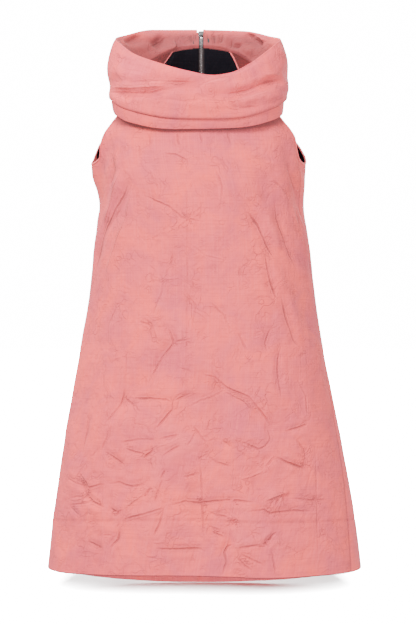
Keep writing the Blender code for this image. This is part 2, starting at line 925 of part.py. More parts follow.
def main():
    for old in list(bpy.data.objects):
        bpy.data.objects.remove(old)
    dress = bpy.data.collections.new("sheath_dress")
    helpers = bpy.data.collections.new("helpers")
    bpy.context.scene.collection.children.link(dress)
    bpy.context.scene.collection.children.link(helpers)

    shell = make_material("rose_cloth", (0.78, 0.33, 0.32), 0.72)
    lining = make_material("dark_lining", (0.012, 0.012, 0.016), 0.6)
    tape = make_material("zip_tape", (0.02, 0.016, 0.022), 0.8)
    steel = make_material("zip_metal", (0.62, 0.62, 0.6), 0.3, 1.0)

    seam, slit = SEAM_HALF_GAP, 0.0
    for name, columns, gaps in (
        ("front_panel", FRONT_COLUMNS, (seam, seam)),
        ("back_panel_left", BACK_LEFT_COLUMNS, (seam, slit)),
        ("back_panel_right", BACK_RIGHT_COLUMNS, (slit, seam)),
    ):
        make_panel(name, columns, gaps, dress, shell)
    for name, columns, gaps in (
        ("front_hem_facing", FRONT_COLUMNS, (seam, seam)),
        ("back_hem_facing_left", BACK_LEFT_COLUMNS, (seam, slit)),
        ("back_hem_facing_right", BACK_RIGHT_COLUMNS, (slit, seam)),
    ):
        make_hem_facing(name, columns, gaps, dress, shell)
    left = armhole_columns(FRONT_COLUMNS[len(FRONT_COLUMNS) // 2 :], BACK_LEFT_COLUMNS)
    right = armhole_columns(BACK_RIGHT_COLUMNS, FRONT_COLUMNS[: len(FRONT_COLUMNS) // 2])
    make_binding("armhole_binding_left", left, dress, shell)
    make_binding("armhole_binding_right", right, dress, shell)
    make_lining("back_lining_left", BACK_LEFT_COLUMNS, (seam, LINING_BESIDE_ZIP), dress, lining)
    make_lining("back_lining_right", BACK_RIGHT_COLUMNS, (LINING_BESIDE_ZIP, seam), dress, lining)

    make_stand(dress, shell)
    make_fall(dress, shell)

    make_tape("zip_tape_left", 1, dress, tape)
    make_tape("zip_tape_right", -1, dress, tape)
    make_chain(dress, steel)
    make_bottom_stop(dress, steel)
    frame = slider_frame()
    helpers.objects.link(frame)
    make_slider(frame, make_bail(frame, helpers), dress, steel)
    make_pull_tab(frame, dress, steel)


main()
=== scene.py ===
import math
import bpy
import numpy as np
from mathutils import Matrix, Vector


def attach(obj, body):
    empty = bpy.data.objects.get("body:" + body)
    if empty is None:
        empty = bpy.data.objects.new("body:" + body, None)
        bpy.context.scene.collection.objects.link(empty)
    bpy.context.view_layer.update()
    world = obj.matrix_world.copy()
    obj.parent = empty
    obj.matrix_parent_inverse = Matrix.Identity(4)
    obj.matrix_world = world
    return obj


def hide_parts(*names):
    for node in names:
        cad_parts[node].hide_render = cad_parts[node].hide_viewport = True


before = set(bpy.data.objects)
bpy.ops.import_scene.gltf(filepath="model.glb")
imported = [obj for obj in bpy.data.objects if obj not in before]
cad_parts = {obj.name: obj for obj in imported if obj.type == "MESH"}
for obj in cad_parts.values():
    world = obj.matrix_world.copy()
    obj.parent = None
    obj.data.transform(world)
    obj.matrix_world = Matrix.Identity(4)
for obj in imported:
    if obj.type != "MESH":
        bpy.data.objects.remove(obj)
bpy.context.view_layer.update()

# sizes are in millimetres until a mesh takes its points; the front faces -Y and +X is the wearer's left
# a ring's angle is 0 at the wearer's left side, 90 at the centre back, 270 at the centre front

layers = {"cloth": 0.8, "lining": 0.6, "tape": 0.7, "facingIn": 1.9, "liningIn": 4.0, "tapeIn": 1.7, "standIn": 3.0,
          "seamGap": 0.06}

body = {
    "roundness": 2.2,
    "rings": (  # height, half width, centre x, front depth, back depth
        (40, 70, 0, 48, 62), (0, 85, 0, 55, 75), (-40, 106, -3, 63, 92), (-80, 131, -5, 81, 104),
        (-120, 154, -5, 101, 111), (-156, 170, -4, 119, 114), (-192, 175, -2, 131, 113),
        (-225, 173.5, -1.5, 138, 110), (-262, 170, 0, 141, 108), (-330, 177, 1, 141, 108),
        (-420, 187, 1.5, 143, 113), (-500, 200, 1.5, 147, 121), (-585, 215.5, 2, 151, 130),
        (-670, 231, 3.5, 156, 140), (-750, 244, 5, 161, 149), (-862, 258, 6, 167, 161), (-920, 263, 6, 170, 166)),
    "neck": (-42, 42, 7),       # level, how far it tilts up to the back, and how much more it rises there
    "neckEnds": (-41, 59),      # side angles where the neckline meets the armhole, front and back
    "armhole": (  # side angle, height
        (-41, -69.6), (-33.4, -122), (-24.4, -156), (-18, -190), (-9, -197), (0, -189), (9, -176),
        (18.4, -156), (30, -136), (42.6, -112), (47, -75), (50, -40), (54, -15), (59, 1)),
    "hem": -859, "hemDropBehind": 46, "hemDropPower": 1.2, "hemDeep": (80, 88),
    "hemLift": ((0, 0), (205, 0), (229, 2.2), (250, 4.2), (267, 4.8), (278, 2.9), (286, 0.6), (292, 0), (360, 0)),
    "leftSeam": (  # height, inset from the outline
        (-190, 9), (-262, 4), (-420, 3), (-520, 3.2), (-600, 4.5), (-660, 7.8), (-750, 14), (-862, 22)),
    "rightSeam": ((-190, 2), (-420, 2), (-670, 5), (-862, 12)),
    "collarFoot": ((0, -113), (90, -119), (180, -113), (225, -136), (262, -149), (290, -146), (320, -134), (360, -113)),
    "zipFoot": -420, "slit": 4, "slitClose": 12, "seamLap": -0.25, "middle": -560.0,
    "drape": (  # top angle, top height, foot angle, foot height, half width, depth
        (209, -172, 189, -265, 15, -7), (196, -168, 181, -225, 10, 4), (214, -215, 196, -300, 16, -3),
        (325, -176, 343, -275, 15, -8), (337, -168, 350, -215, 10, -4), (306, -215, 327, -345, 17, -5),
        (318, -345, 338, -470, 16, -3), (212, -430, 203, -600, 18, -3), (36, -185, 20, -300, 17, -6),
        (146, -185, 160, -300, 17, -6), (62, -330, 48, -620, 26, -5), (118, -330, 131, -640, 26, -5),
        (30, -480, 22, -820, 20, 5), (155, -500, 163, -820, 20, 5), (285, -560, 291, -850, 24, 3),
        (240, -600, 234, -850, 24, 3), (292, -268, 312, -365, 11, -4), (303, -330, 322, -470, 11, 3.5),
        (268, -538, 303, -636, 9, -4), (254, -503, 235, -592, 10, -4), (247, -215, 262, -330, 14, 3)),
}


def smooth(value):
    value = np.clip(value, 0, 1)
    return value * value * (3 - 2 * value)


def between(low, high, share):
    return low + (high - low) * share


def curveAt(table, at, column=1):  # a smooth curve through a table's rows that never overshoots them
    rows = np.array(sorted(table), float)
    x, y = rows[:, 0], rows[:, column]
    slope = np.diff(y) / np.diff(x)
    tangent = np.concatenate([slope[:1], np.zeros(len(x) - 2), slope[-1:]])
    before, after = slope[:-1], slope[1:]
    agree = before * after > 0
    tangent[1:-1][agree] = (2 * before * after)[agree] / (before + after)[agree]
    at = np.clip(at, x[0], x[-1])
    k = np.clip(np.searchsorted(x, at, side="right") - 1, 0, len(x) - 2)
    span = x[k + 1] - x[k]
    t = (at - x[k]) / span
    return ((2 * t**3 - 3 * t**2 + 1) * y[k] + (t**3 - 2 * t**2 + t) * span * tangent[k]
            + (3 * t**2 - 2 * t**3) * y[k + 1] + (t**3 - t**2) * span * tangent[k + 1])


def roundRing(angle, halfWidth, depth, roundness):
    c, s = np.cos(np.radians(angle)), np.sin(np.radians(angle))
    power = 2 / roundness
    return np.sign(c) * abs(c) ** power * halfWidth, np.sign(s) * abs(s) ** power * depth


def sideAngle(angle):
    return np.degrees(np.arcsin(np.sin(np.radians(angle))))


def drape(angle, height):  # the largest folds, which fall from the bust and the shoulder blades
    out = 0.0 * (angle + height)
    for topAngle, top, footAngle, foot, halfWidth, depth in body["drape"]:
        along = (top - height) / (top - foot)
        across = ((angle - between(topAngle, footAngle, along) + 180) % 360 - 180) / halfWidth
        ends = smooth((along + 0.3) / 0.5) * smooth((1.3 - along) / 0.5)
        out = out + depth * ends * np.exp(-2.2 * across * across)
    return out


def ringSizes(angle, height):
    behind = np.sin(np.radians(angle)) > 0
    depth = np.where(behind, curveAt(body["rings"], height, 4), curveAt(body["rings"], height, 3))
    return curveAt(body["rings"], height, 1), curveAt(body["rings"], height, 2), depth


def plainBody(angle, height, out=0.0):
    angle, height = np.broadcast_arrays(np.asarray(angle, float), np.asarray(height, float))
    halfWidth, centre, depth = ringSizes(angle, height)
    x, y = roundRing(angle, halfWidth + out, depth + out, body["roundness"])
    return np.stack([centre + x, y, height], -1)


def neckHeight(angle):
    behind = np.sin(np.radians(angle))
    level, tilt, rise = body["neck"]
    return level + tilt * behind + rise * smooth((behind - 0.2) / 0.6)


def topHeight(angle):  # the neckline, or the armhole between its ends
    side = sideAngle(angle)
    inArmhole = (side > body["neckEnds"][0]) & (side < body["neckEnds"][1])
    return np.where(inArmhole, curveAt(body["armhole"], side), neckHeight(angle))


def hemHeight(angle):
    behind = np.maximum(0, np.sin(np.radians(angle)))
    lift = np.interp(angle % 360, *np.array(body["hemLift"], float).T)
    return body["hem"] + lift - body["hemDropBehind"] * behind ** body["hemDropPower"]


def stitchHeight(angle):
    front = np.maximum(0, -np.sin(np.radians(angle)))
    return hemHeight(angle) + between(*body["hemDeep"], front)


def seamAngle(table, height):
    share = 1 - curveAt(table, height) / curveAt(body["rings"], height, 1)
    return np.degrees(np.arccos(share ** (body["roundness"] / 2)))


def leftSeam(height):   # it has come round to the front
    return -seamAngle(body["leftSeam"], height)


def rightSeam(height):  # it lies behind
    return 180 - seamAngle(body["rightSeam"], height)


def angleFor(x, height, behind):  # where on a ring the front or the back lies at this x
    halfWidth, centre = curveAt(body["rings"], height, 1), curveAt(body["rings"], height, 2)
    turn = np.degrees(np.arcsin(np.minimum(1, abs(x - centre) / halfWidth) ** (body["roundness"] / 2)))
    turn = turn * np.sign(x - centre)
    return 90 - turn if behind else 270 + turn


def centreBack(sign):  # the edge of the zip's slit, which closes to a seam below the zip
    def edge(height):
        closed = smooth((body["zipFoot"] - height) / body["slitClose"])
        return angleFor(sign * between(body["slit"], body["seamLap"], closed), height, True)
    return edge


# girth: how far round the dress a point lies from the centre front, or from the centre back

girthHeights = np.linspace(-940, 60, 51)


def girthTable(firstAngle):
    angles = np.linspace(firstAngle, firstAngle + 180, 361)
    ring = plainBody(angles[None, :], girthHeights[:, None])
    steps = np.hypot(*np.diff(ring[..., :2], axis=1).transpose(2, 0, 1))
    total = np.concatenate([np.zeros((len(girthHeights), 1)), np.cumsum(steps, 1)], 1)
    return total - total[:, 180:181]


girthFront, girthBack = girthTable(180), girthTable(0)


def girth(angle, height, behind):  # grows towards the wearer's left in front, and with the angle behind
    table = girthBack if behind else girthFront
    column = np.clip(((angle - (0 if behind else 180)) % 360) * 2, 0, 360)
    row = np.clip((height - girthHeights[0]) / (girthHeights[1] - girthHeights[0]), 0, len(girthHeights) - 1)
    r, c = np.minimum(row.astype(int), len(girthHeights) - 2), np.minimum(column.astype(int), 359)
    fr, fc = row - r, column - c
    return ((table[r, c] * (1 - fc) + table[r, c + 1] * fc) * (1 - fr)
            + (table[r + 1, c] * (1 - fc) + table[r + 1, c + 1] * fc) * fr)


# creases, given one by one: kind, depth, half width, then its course in x and height
# a trough sinks, a ridge stands up, and a step is the edge of a flat fold

frontCreases = (
    ("step", 1.3, 5, ((-66, -187), (-39, -190), (-24, -198), (-14, -212))),
    ("trough", 1.5, 6, ((-100, -251), (-76, -261), (-48, -274), (-30, -290), (15, -300))),
    ("trough", 1.2, 5, ((-44, -345), (-49, -368))),
    ("step", 1.4, 5, ((-68, -374), (-60, -390), (-61, -407), (-68, -424), (-78, -452))),
    ("trough", 1.2, 5, ((-99, -455), (-75, -462))),
    ("step", 1.4, 5, ((-79, -455), (-68, -488))),
    ("trough", 1.8, 6, ((-56, -450), (-43, -489), (-64, -514), (-90, -562))),
    ("step", 1.0, 5, ((-43, -488), (-12, -482))),
    ("trough", 1.0, 4.5, ((-119, -503), (-119, -537))),
    ("trough", 1.1, 5, ((-158, -535), (-155, -574))),
    ("trough", 1.8, 6, ((-153, -622), (-128, -585), (-122, -556))),
    ("trough", 2.0, 4.5, ((-125, -576), (-103, -591))),
    ("trough", 2.0, 5, ((-112, -578), (-80, -577), (-52, -579), (-41, -586))),
    ("trough", 2.0, 5, ((-74, -629), (-39, -588))),
    ("trough", 1.4, 5, ((-43, -581), (-15, -568))),
    ("step", -1.6, 5, ((-23, -592), (-1, -580), (17, -575), (44, -560))),
    ("step", 1.7, 5.5, ((-4, -538), (22, -543), (42, -560), (75, -574), (95, -598), (111, -618), (127, -635))),
    ("ridge", 2.0, 6, ((24, -551), (42, -566), (70, -581), (88, -603))),
    ("trough", 1.2, 5, ((-177, -674), (-161, -655))),
    ("trough", 1.6, 5, ((-160, -664), (-144, -628))),
    ("trough", 1.4, 5, ((-66, -641), (-31, -633))),
    ("trough", 1.6, 5, ((-14, -618), (11, -649))),
    ("trough", 1.5, 5, ((58, -642), (90, -657), (101, -653), (110, -642), (106, -618))),
    ("trough", 1.4, 4.5, ((33, -642), (50, -653))),
    ("trough", 1.7, 5, ((133, -631), (173, -619))),
    ("trough", 2.8, 4.5, ((113, -668), (140, -680), (175, -692))),
    ("step", 1.8, 5, ((117, -668), (100, -686))),
    ("trough", 2.6, 9, ((73, -276), (94, -301), (106, -331), (121, -360))),
    ("trough", 2.2, 8, ((102, -345), (109, -385), (122, -425))),
    ("trough", 2.0, 8, ((125, -405), (138, -453), (150, -486), (164, -502))),
    ("trough", 1.5, 6, ((112, -464), (103, -490), (106, -505))),
    ("trough", 1.5, 6, ((59, -472), (74, -503))),
    ("trough", 1.8, 6, ((130, -487), (123, -516), (123, -544), (128, -583))),
    ("trough", 2.4, 9, ((121, -256), (126, -290), (140, -331), (158, -374))),
    ("trough", 1.6, 6, ((117, -227), (133, -241), (147, -258))),
    ("trough", 1.8, 7, ((143, -201), (153, -224), (163, -250))),
    ("trough", 1.4, 6, ((157, -268), (163, -311))),
    ("ridge", 2.4, 8, ((-127, -203), (-143, -255), (-163, -316))),
    ("trough", 3.0, 11, ((-109, -222), (-127, -255), (-154, -303), (-168, -350), (-175, -402))),
    ("ridge", 2.0, 8, ((-107, -219), (-118, -284), (-144, -350), (-158, -410))),
    ("trough", 1.2, 4.5, ((-140, -286), (-129, -275))),
    ("trough", 1.5, 6, ((-150, -178), (-141, -212), (-150, -240))),
    ("trough", 1.8, 4.5, ((-155, -660), (-133, -674), (-118, -684))),
    ("trough", 2.2, 4.5, ((-120, -656), (-103, -662), (-88, -664))),
    ("trough", 2.4, 4.5, ((-91, -672), (-72, -655))),
    ("step", 1.6, 4.5, ((-79, -668), (-75, -690))),
    ("trough", 1.5, 5, ((-54, -687), (-63, -705))),
    ("step", 2.0, 5.5, ((-197, -694), (-186, -709), (-178, -721), (-161, -715), (-148, -714))),
    ("trough", 1.6, 5.5, ((-150, -714), (-127, -710), (-118, -714), (-107, -716), (-89, -712), (-77, -699))),
    ("trough", 1.2, 5, ((-219, -708), (-197, -716), (-178, -721))),
    ("trough", 2.0, 5, ((-191, -719), (-179, -736), (-168, -744), (-144, -752))),
    ("trough", 1.3, 5, ((-214, -752), (-190, -747), (-170, -743))),
    ("trough", 1.2, 4.5, ((-214, -752), (-191, -767))),
    ("trough", 2.2, 4, ((-143, -750), (-128, -760))),
    ("trough", 2.0, 4, ((-138, -764), (-122, -752))),
    ("step", 1.8, 5, ((-124, -769), (-99, -762), (-66, -752), (-55, -746))),
    ("trough", 2.0, 5, ((-62, -748), (-26, -739), (0, -741), (43, -736), (99, -741))),
    ("step", 2.2, 5, ((97, -741), (124, -731), (113, -753))),
    ("trough", 1.6, 5, ((137, -735), (178, -740), (208, -741))),
    ("trough", 1.8, 5, ((62, -755), (99, -752), (109, -758), (144, -755), (186, -758))),
    ("trough", 2.0, 5, ((-75, -796), (-66, -777), (-57, -749))),
    ("trough", 2.0, 5, ((-145, -818), (-130, -799), (-127, -782))),
    ("trough", 1.7, 5, ((-77, -812), (-47, -814), (-2, -812), (16, -821))),
    ("trough", 1.4, 5, ((-181, -805), (-150, -817))),
    ("trough", 2.4, 4, ((40, -763), (59, -777))),
    ("trough", 2.2, 4, ((41, -779), (58, -764))),
    ("trough", 1.6, 4.5, ((15, -784), (38, -795))),
    ("trough", 2.4, 6, ((47, -775), (45, -804), (37, -819), (41, -834), (33, -857))),
    ("trough", 3.0, 4.5, ((93, -809), (106, -801), (113, -791), (121, -786))),
    ("step", 1.5, 5, ((48, -812), (78, -809), (107, -810))),
    ("trough", 1.8, 4.5, ((60, -820), (101, -840))),
    ("trough", 1.4, 5, ((110, -813), (118, -855))),
    ("trough", 0.7, 3.5, ((-23, -180), (-23, -600))),
    ("ridge", 0.9, 3.5, ((49, -615), (48, -815))),
    ("trough", 1.5, 3.5, ((-1, -663), (2, -737), (6, -812))),
    ("trough", 0.8, 3.5, ((183, -640), (187, -835))),
    ("ridge", 0.8, 3.5, ((-152, -655), (-155, -842))),
    ("ridge", 0.6, 4, ((-75, -420), (-78, -560))),
    ("step", 1.2, 6, ((20, -205), (34, -240), (30, -282))),
    ("step", -1.0, 6, ((-20, -330), (10, -352), (48, -360))),
    ("trough", 1.0, 6, ((10, -420), (38, -446), (50, -480))),
    ("step", 1.2, 6, ((-30, -400), (-8, -430), (-14, -468))),
    ("trough", 1.1, 6, ((-130, -420), (-150, -462), (-150, -500))),
    ("step", 1.2, 6, ((150, -540), (168, -575), (170, -612))),
    ("trough", 1.2, 4.5, ((-108, -617), (-86, -619))),
    ("trough", 1.3, 4.5, ((-130, -648), (-100, -642), (-70, -641))),
    ("trough", 1.4, 4.5, ((-64, -671), (-46, -658), (-29, -649))),
    ("ridge", 1.2, 4.5, ((-72, -654), (-48, -646), (-25, -634))),
    ("trough", 1.4, 4, ((-5, -673), (13, -662))),
    ("trough", 1.2, 4, ((-29, -701), (-5, -695))),
    ("trough", 1.3, 4.5, ((-58, -700), (-66, -722), (-72, -744))),
    ("trough", 1.8, 4.5, ((-76, -714), (-90, -734))),
    ("ridge", 1.3, 5, ((-82, -722), (-104, -738), (-124, -754))),
    ("trough", 1.3, 4.5, ((-214, -740), (-195, -736), (-176, -738))),
    ("trough", 1.2, 4.5, ((-166, -795), (-135, -793))),
    ("trough", 1.6, 4.5, ((7, -752), (26, -760), (46, -764))),
    ("trough", 1.4, 4, ((-21, -653), (-7, -629))),
    ("trough", 1.4, 4.5, ((7, -665), (26, -677), (50, -685))),
    ("ridge", 1.2, 4.5, ((57, -705), (80, -699), (101, -689))),
    ("trough", 1.5, 4, ((54, -823), (68, -838), (81, -848))),
    ("trough", 1.3, 4, ((56, -814), (82, -808), (98, -806))),
    ("trough", 1.3, 4, ((10, -776), (32, -784))),
    ("trough", 1.4, 4.5, ((150, -640), (166, -660), (170, -690))),
    ("trough", 1.2, 4.5, ((-176, -600), (-186, -640), (-192, -676))),
    ("trough", 1.4, 4, ((-83, -153), (-80, -176))),
    ("trough", 1.2, 4, ((-38, -153), (-34, -178))),
    ("trough", 1.2, 4, ((-2, -154), (4, -172))),
    ("trough", 1.2, 4, ((42, -152), (50, -174))),
)

# the back isn't shown: it is crushed as much as the front, with folds of its own
backCreases = (
    ("trough", 1.8, 6, ((-120, -230), (-86, -262), (-60, -300))),
    ("step", 1.6, 6, ((-58, -180), (-44, -214), (-50, -250))),
    ("trough", 1.8, 6, ((40, -196), (72, -226), (104, -238))),
    ("trough", 2.4, 9, ((112, -224), (124, -290), (146, -350))),
    ("trough", 2.4, 9, ((-112, -262), (-130, -322), (-152, -372))),
    ("step", -1.6, 6, ((24, -286), (52, -312), (60, -350))),
    ("trough", 2.0, 5, ((-96, -408), (-66, -400), (-36, -412))),
    ("step", 1.8, 6, ((-34, -448), (-58, -486), (-90, -502))),
    ("trough", 2.0, 6, ((26, -440), (58, -462), (84, -500), (90, -540))),
    ("ridge", 1.8, 7, ((110, -430), (132, -480), (138, -530))),
    ("trough", 2.2, 5, ((-140, -520), (-108, -548), (-84, -552), (-52, -542))),
    ("trough", 2.2, 5, ((-60, -600), (-84, -562))),
    ("step", 2.4, 6, ((14, -560), (44, -574), (66, -604), (104, -622), (132, -618))),
    ("trough", 1.8, 5, ((66, -606), (58, -650))),
    ("trough", 1.8, 6, ((-170, -600), (-150, -640), (-156, -680))),
    ("step", 2.0, 6, ((-128, -640), (-92, -658), (-60, -650), (-30, -668))),
    ("trough", 2.4, 5, ((-92, -660), (-104, -700))),
    ("trough", 2.6, 5, ((122, -672), (160, -690), (190, -686))),
    ("trough", 2.0, 5, ((38, -690), (80, -702), (112, -694))),
    ("step", 1.8, 5, ((-200, -720), (-170, -742), (-140, -738))),
    ("trough", 2.0, 5, ((-118, -762), (-70, -752), (-24, -758))),
    ("trough", 2.0, 5, ((20, -752), (66, -768), (118, -756), (150, -764))),
    ("trough", 2.2, 5, ((-60, -790), (-72, -830), (-64, -862))),
    ("trough", 2.2, 5, ((88, -800), (74, -838), (82, -874))),
    ("trough", 1.8, 5, ((-170, -800), (-136, -816), (-104, -812))),
    ("trough", 1.8, 5, ((130, -820), (166, -806), (196, -814))),
    ("trough", 1.2, 4, ((30, -852), (64, -862))),
    ("ridge", 0.9, 3.5, ((-96, -460), (-98, -860))),
    ("trough", 0.9, 3.5, ((118, -420), (122, -860))),
    ("ridge", 0.7, 3.5, ((56, -200), (54, -520))),
)

# where the cloth is crushed most: x, height, radius, strength; the same patches serve front and back
crush = {"seamCalm": 14, "creaseGain": 1.35, "facetGain": 2.6, "waveGain": 1.2, "base": 0.42, "seed": 7,
         "cells": ((74, 1.5), (37, 0.95), (19, 0.42)),
         "patches": ((-60, -600, 90, 0.5), (70, -620, 80, 0.5), (-130, -730, 90, 0.6), (60, -770, 90, 0.6),
                     (-60, -800, 80, 0.5), (120, -750, 80, 0.5), (-50, -470, 80, 0.35), (100, -320, 80, 0.3),
                     (0, -690, 80, 0.3), (-110, -260, 60, 0.25))}


def profile(kind, u, beside):
    if kind == "trough":
        return -np.exp(-u * u) + 0.42 * np.exp(-(((u - 1.9) / 0.9) ** 2))
    if kind == "ridge":
        return np.exp(-1.7 * (np.sqrt(u * u + 0.06) - 0.24)) - 0.25 * np.exp(-(((u - 2.4) / 1.1) ** 2))
    return np.tanh(1.5 * u) * beside * np.exp(-((u / 3.2) ** 2))


farOff = 90.0  # where no crease is near


def layCreases(creases, across, height, toGirth):
    out, sharp = np.zeros(across.shape), np.zeros(across.shape)
    nearest, aside = np.full(across.shape, farOff), np.full(across.shape, farOff)
    for kind, depth, halfWidth, course in creases:
        x, z = np.array(course, float).T
        line = np.stack([toGirth(x, z), z], 1)
        reach = halfWidth * 4
        near = ((across > line[:, 0].min() - reach) & (across < line[:, 0].max() + reach)
                & (height > line[:, 1].min() - reach) & (height < line[:, 1].max() + reach))
        if not near.any():
            continue
        here = np.stack([across[near], height[near]], 1)
        closest, along, beside, run = np.full(len(here), 1e9), np.zeros(len(here)), np.ones(len(here)), 0.0
        for a, b in zip(line, line[1:]):
            step = b - a
            span = math.hypot(*step)
            share = np.clip((here - a) @ step / span**2, 0, 1)
            gap = here - a - share[:, None] * step
            distance = np.hypot(gap[:, 0], gap[:, 1])
            nearer = distance < closest
            closest = np.where(nearer, distance, closest)
            along = np.where(nearer, run + share * span, along)
            beside = np.where(nearer, np.sign(step[0] * gap[:, 1] - step[1] * gap[:, 0]), beside)
            run += span
        end = 0.3 * run
        ends = smooth(along / end) * smooth((run - along) / end)
        uneven = 0.8 + 0.2 * np.sin(along / 9 + run)
        out[near] += depth * ends * uneven * profile(kind, closest / halfWidth, beside)
        wins = np.zeros(across.shape, bool)
        wins[near] = (closest < nearest[near]) & (ends > 0.04)
        nearest[wins], aside[wins] = closest[wins[near]], (closest * beside)[wins[near]]
        sharp[wins] = ((-1 if kind == "ridge" else 1) * abs(depth) * ends * uneven)[wins[near]]
    sharp *= smooth((7.5 - nearest) / 3.5)
    return np.stack([out, aside, sharp], -1)  # the relief, how far beside the crease's line, how sharp it is


def crumple(across, height, cell, seed):  # flat facets that meet in crisp lines, as crushed cloth has
    tiles, meanGap = 400, 0.42
    jitter = np.random.default_rng(seed).random((tiles, tiles, 2))
    gx, gz = across / cell + tiles / 2, height / (cell * 1.25) + tiles / 2
    best = np.full(across.shape, 9.0)
    for i in (-1, 0, 1):
        for j in (-1, 0, 1):
            cx, cz = np.floor(gx).astype(int) + i, np.floor(gz).astype(int) + j
            spot = jitter[cx % tiles, cz % tiles]
            distance = np.hypot(gx - cx - spot[..., 0], gz - cz - spot[..., 1])
            best = np.minimum(best, distance)
    return best - meanGap


def softWaves(across, height):
    return (0.8 * np.sin(across / 31 + 1.1 * np.sin(height / 57)) * np.sin(height / 71 + 0.6)
            + 0.6 * np.sin(across / 19 + height / 83 + 2.1) * np.sin(height / 43))


def relief(angle, height):  # how far the finer folds push the cloth in or out
    angle, height = np.broadcast_arrays(np.asarray(angle, float), np.asarray(height, float))
    behind = np.sin(np.radians(angle)) > 0
    front, back = girth(angle, height, False), girth(angle, height, True)
    half = girth(np.full(height.shape, 359.99), height, False)
    halfBack = girth(np.full(height.shape, 179.99), height, True)
    x = plainBody(angle, height)[..., 0]
    around = np.where(behind, np.sign(x) * (half + halfBack - abs(back)), front)
    creases = np.where(
        behind[..., None],
        layCreases(backCreases, -back, height, lambda cx, cz: -girth(angleFor(cx, cz, True), cz, True)),
        layCreases(frontCreases, front, height, lambda cx, cz: girth(angleFor(cx, cz, False), cz, False)))
    fromSide = np.where(behind, halfBack - abs(back), half - abs(front))
    crushed = crush["base"] + 0 * x
    for px, pz, radius, strength in crush["patches"]:
        crushed = crushed + strength * np.exp(-((x - px) ** 2 + (height - pz) ** 2) / radius**2)
    facets = sum(depth * crumple(around, height, cell, crush["seed"] + k)
                 for k, (cell, depth) in enumerate(crush["cells"]))
    calm = 0.45 + 0.55 * smooth(fromSide / 40)
    creases[..., 0] = (creases[..., 0] * smooth(fromSide / 16) * crush["creaseGain"]
                       + (facets * crushed * crush["facetGain"] + softWaves(around, height) * crush["waveGain"]) * calm)
    creases[..., 0] *= np.where(behind, smooth(abs(back) / crush["seamCalm"]), 1)  # the seam holds the cloth flat
    return creases


def skin(angle, height, inside=0.0, sunk=0.0):
    folds = relief(angle, height)
    return plainBody(angle, height, drape(angle, height) + folds[..., 0] - sunk - inside), folds


def deselectAll():
    bpy.ops.object.select_all(action="DESELECT")
    bpy.context.view_layer.objects.active = None


def applyAll(piece):
    deselectAll()
    piece.select_set(True)
    bpy.context.view_layer.objects.active = piece
    for step in list(piece.modifiers):
        bpy.ops.object.modifier_apply(modifier=step.name)
    return piece


def layCloth(name, points, weave, thickness, folds=None, shade=None):
    rows, columns = points.shape[:2]
    deselectAll()
    bpy.ops.mesh.primitive_grid_add(x_subdivisions=columns - 1, y_subdivisions=rows - 1, size=2)
    sheet = bpy.context.object
    sheet.name = sheet.data.name = name
    mesh = sheet.data
    flat = np.empty(len(mesh.vertices) * 3)
    mesh.vertices.foreach_get("co", flat)
    flat = flat.reshape(-1, 3)
    column = np.rint((flat[:, 0] + 1) / 2 * (columns - 1)).astype(int)
    row = np.rint((flat[:, 1] + 1) / 2 * (rows - 1)).astype(int)
    mesh.vertices.foreach_set("co", (points[row, column] / 1000).ravel())
    corner = np.empty(len(mesh.loops), int)
    mesh.loops.foreach_get("vertex_index", corner)
    mesh.uv_layers[0].data.foreach_set("uv", (weave[row[corner], column[corner]] / 1000).ravel())
    kept = {} if folds is None else {"folds": folds[..., 0], "beside": folds[..., 1], "sharp": folds[..., 2]}
    kept["shade"] = np.zeros((rows, columns)) if shade is None else shade
    for key, values in kept.items():
        tone = mesh.attributes.new(key, "FLOAT", "POINT")
        tone.data.foreach_set("value", values[row, column].astype(np.float32))
    mesh.update()
    wall = sheet.modifiers.new("wall", "SOLIDIFY")
    wall.thickness, wall.offset, wall.material_offset = thickness / 1000, -1, 1
    applyAll(sheet)
    bpy.ops.object.shade_smooth_by_angle(angle=math.radians(60))
    return sheet


def evenShares(start, end, count):  # shares of the way round that are evenly apart on a middle ring
    angles = np.linspace(start, end, 721)
    ring = plainBody(angles, np.full(len(angles), body["middle"]))
    run = np.concatenate([[0], np.cumsum(np.hypot(*np.diff(ring[:, :2], axis=0).T))])
    return np.interp(np.linspace(0, 1, count), run / run[-1], np.linspace(0, 1, len(angles)))


def panelGrid(startAt, endAt, shares, across):  # shares: -1 at the hem, 0 at its stitching, 1 at the top
    across, shares = np.meshgrid(across, shares)
    height = np.full(across.shape, float(body["hem"]))
    for _ in range(7):
        angle = between(startAt(height), endAt(height), across)
        stitching = stitchHeight(angle)
        lower = between(hemHeight(angle), stitching, shares + 1)
        height = np.where(shares < 0, lower, between(stitching, topHeight(angle), shares))
    return angle, height


def lengthAlong(points, axis=0):  # how far along its column or row each point lies
    steps = np.linalg.norm(np.diff(points, axis=axis), axis=-1)
    return np.insert(np.cumsum(steps, axis), 0, 0.0, axis)


def valuesAt(values, run, where):
    return np.stack([np.interp(where, run, values[:, k]) for k in range(3)], 1)


def unit(vectors):
    return vectors / np.linalg.norm(vectors, axis=1)[:, None]


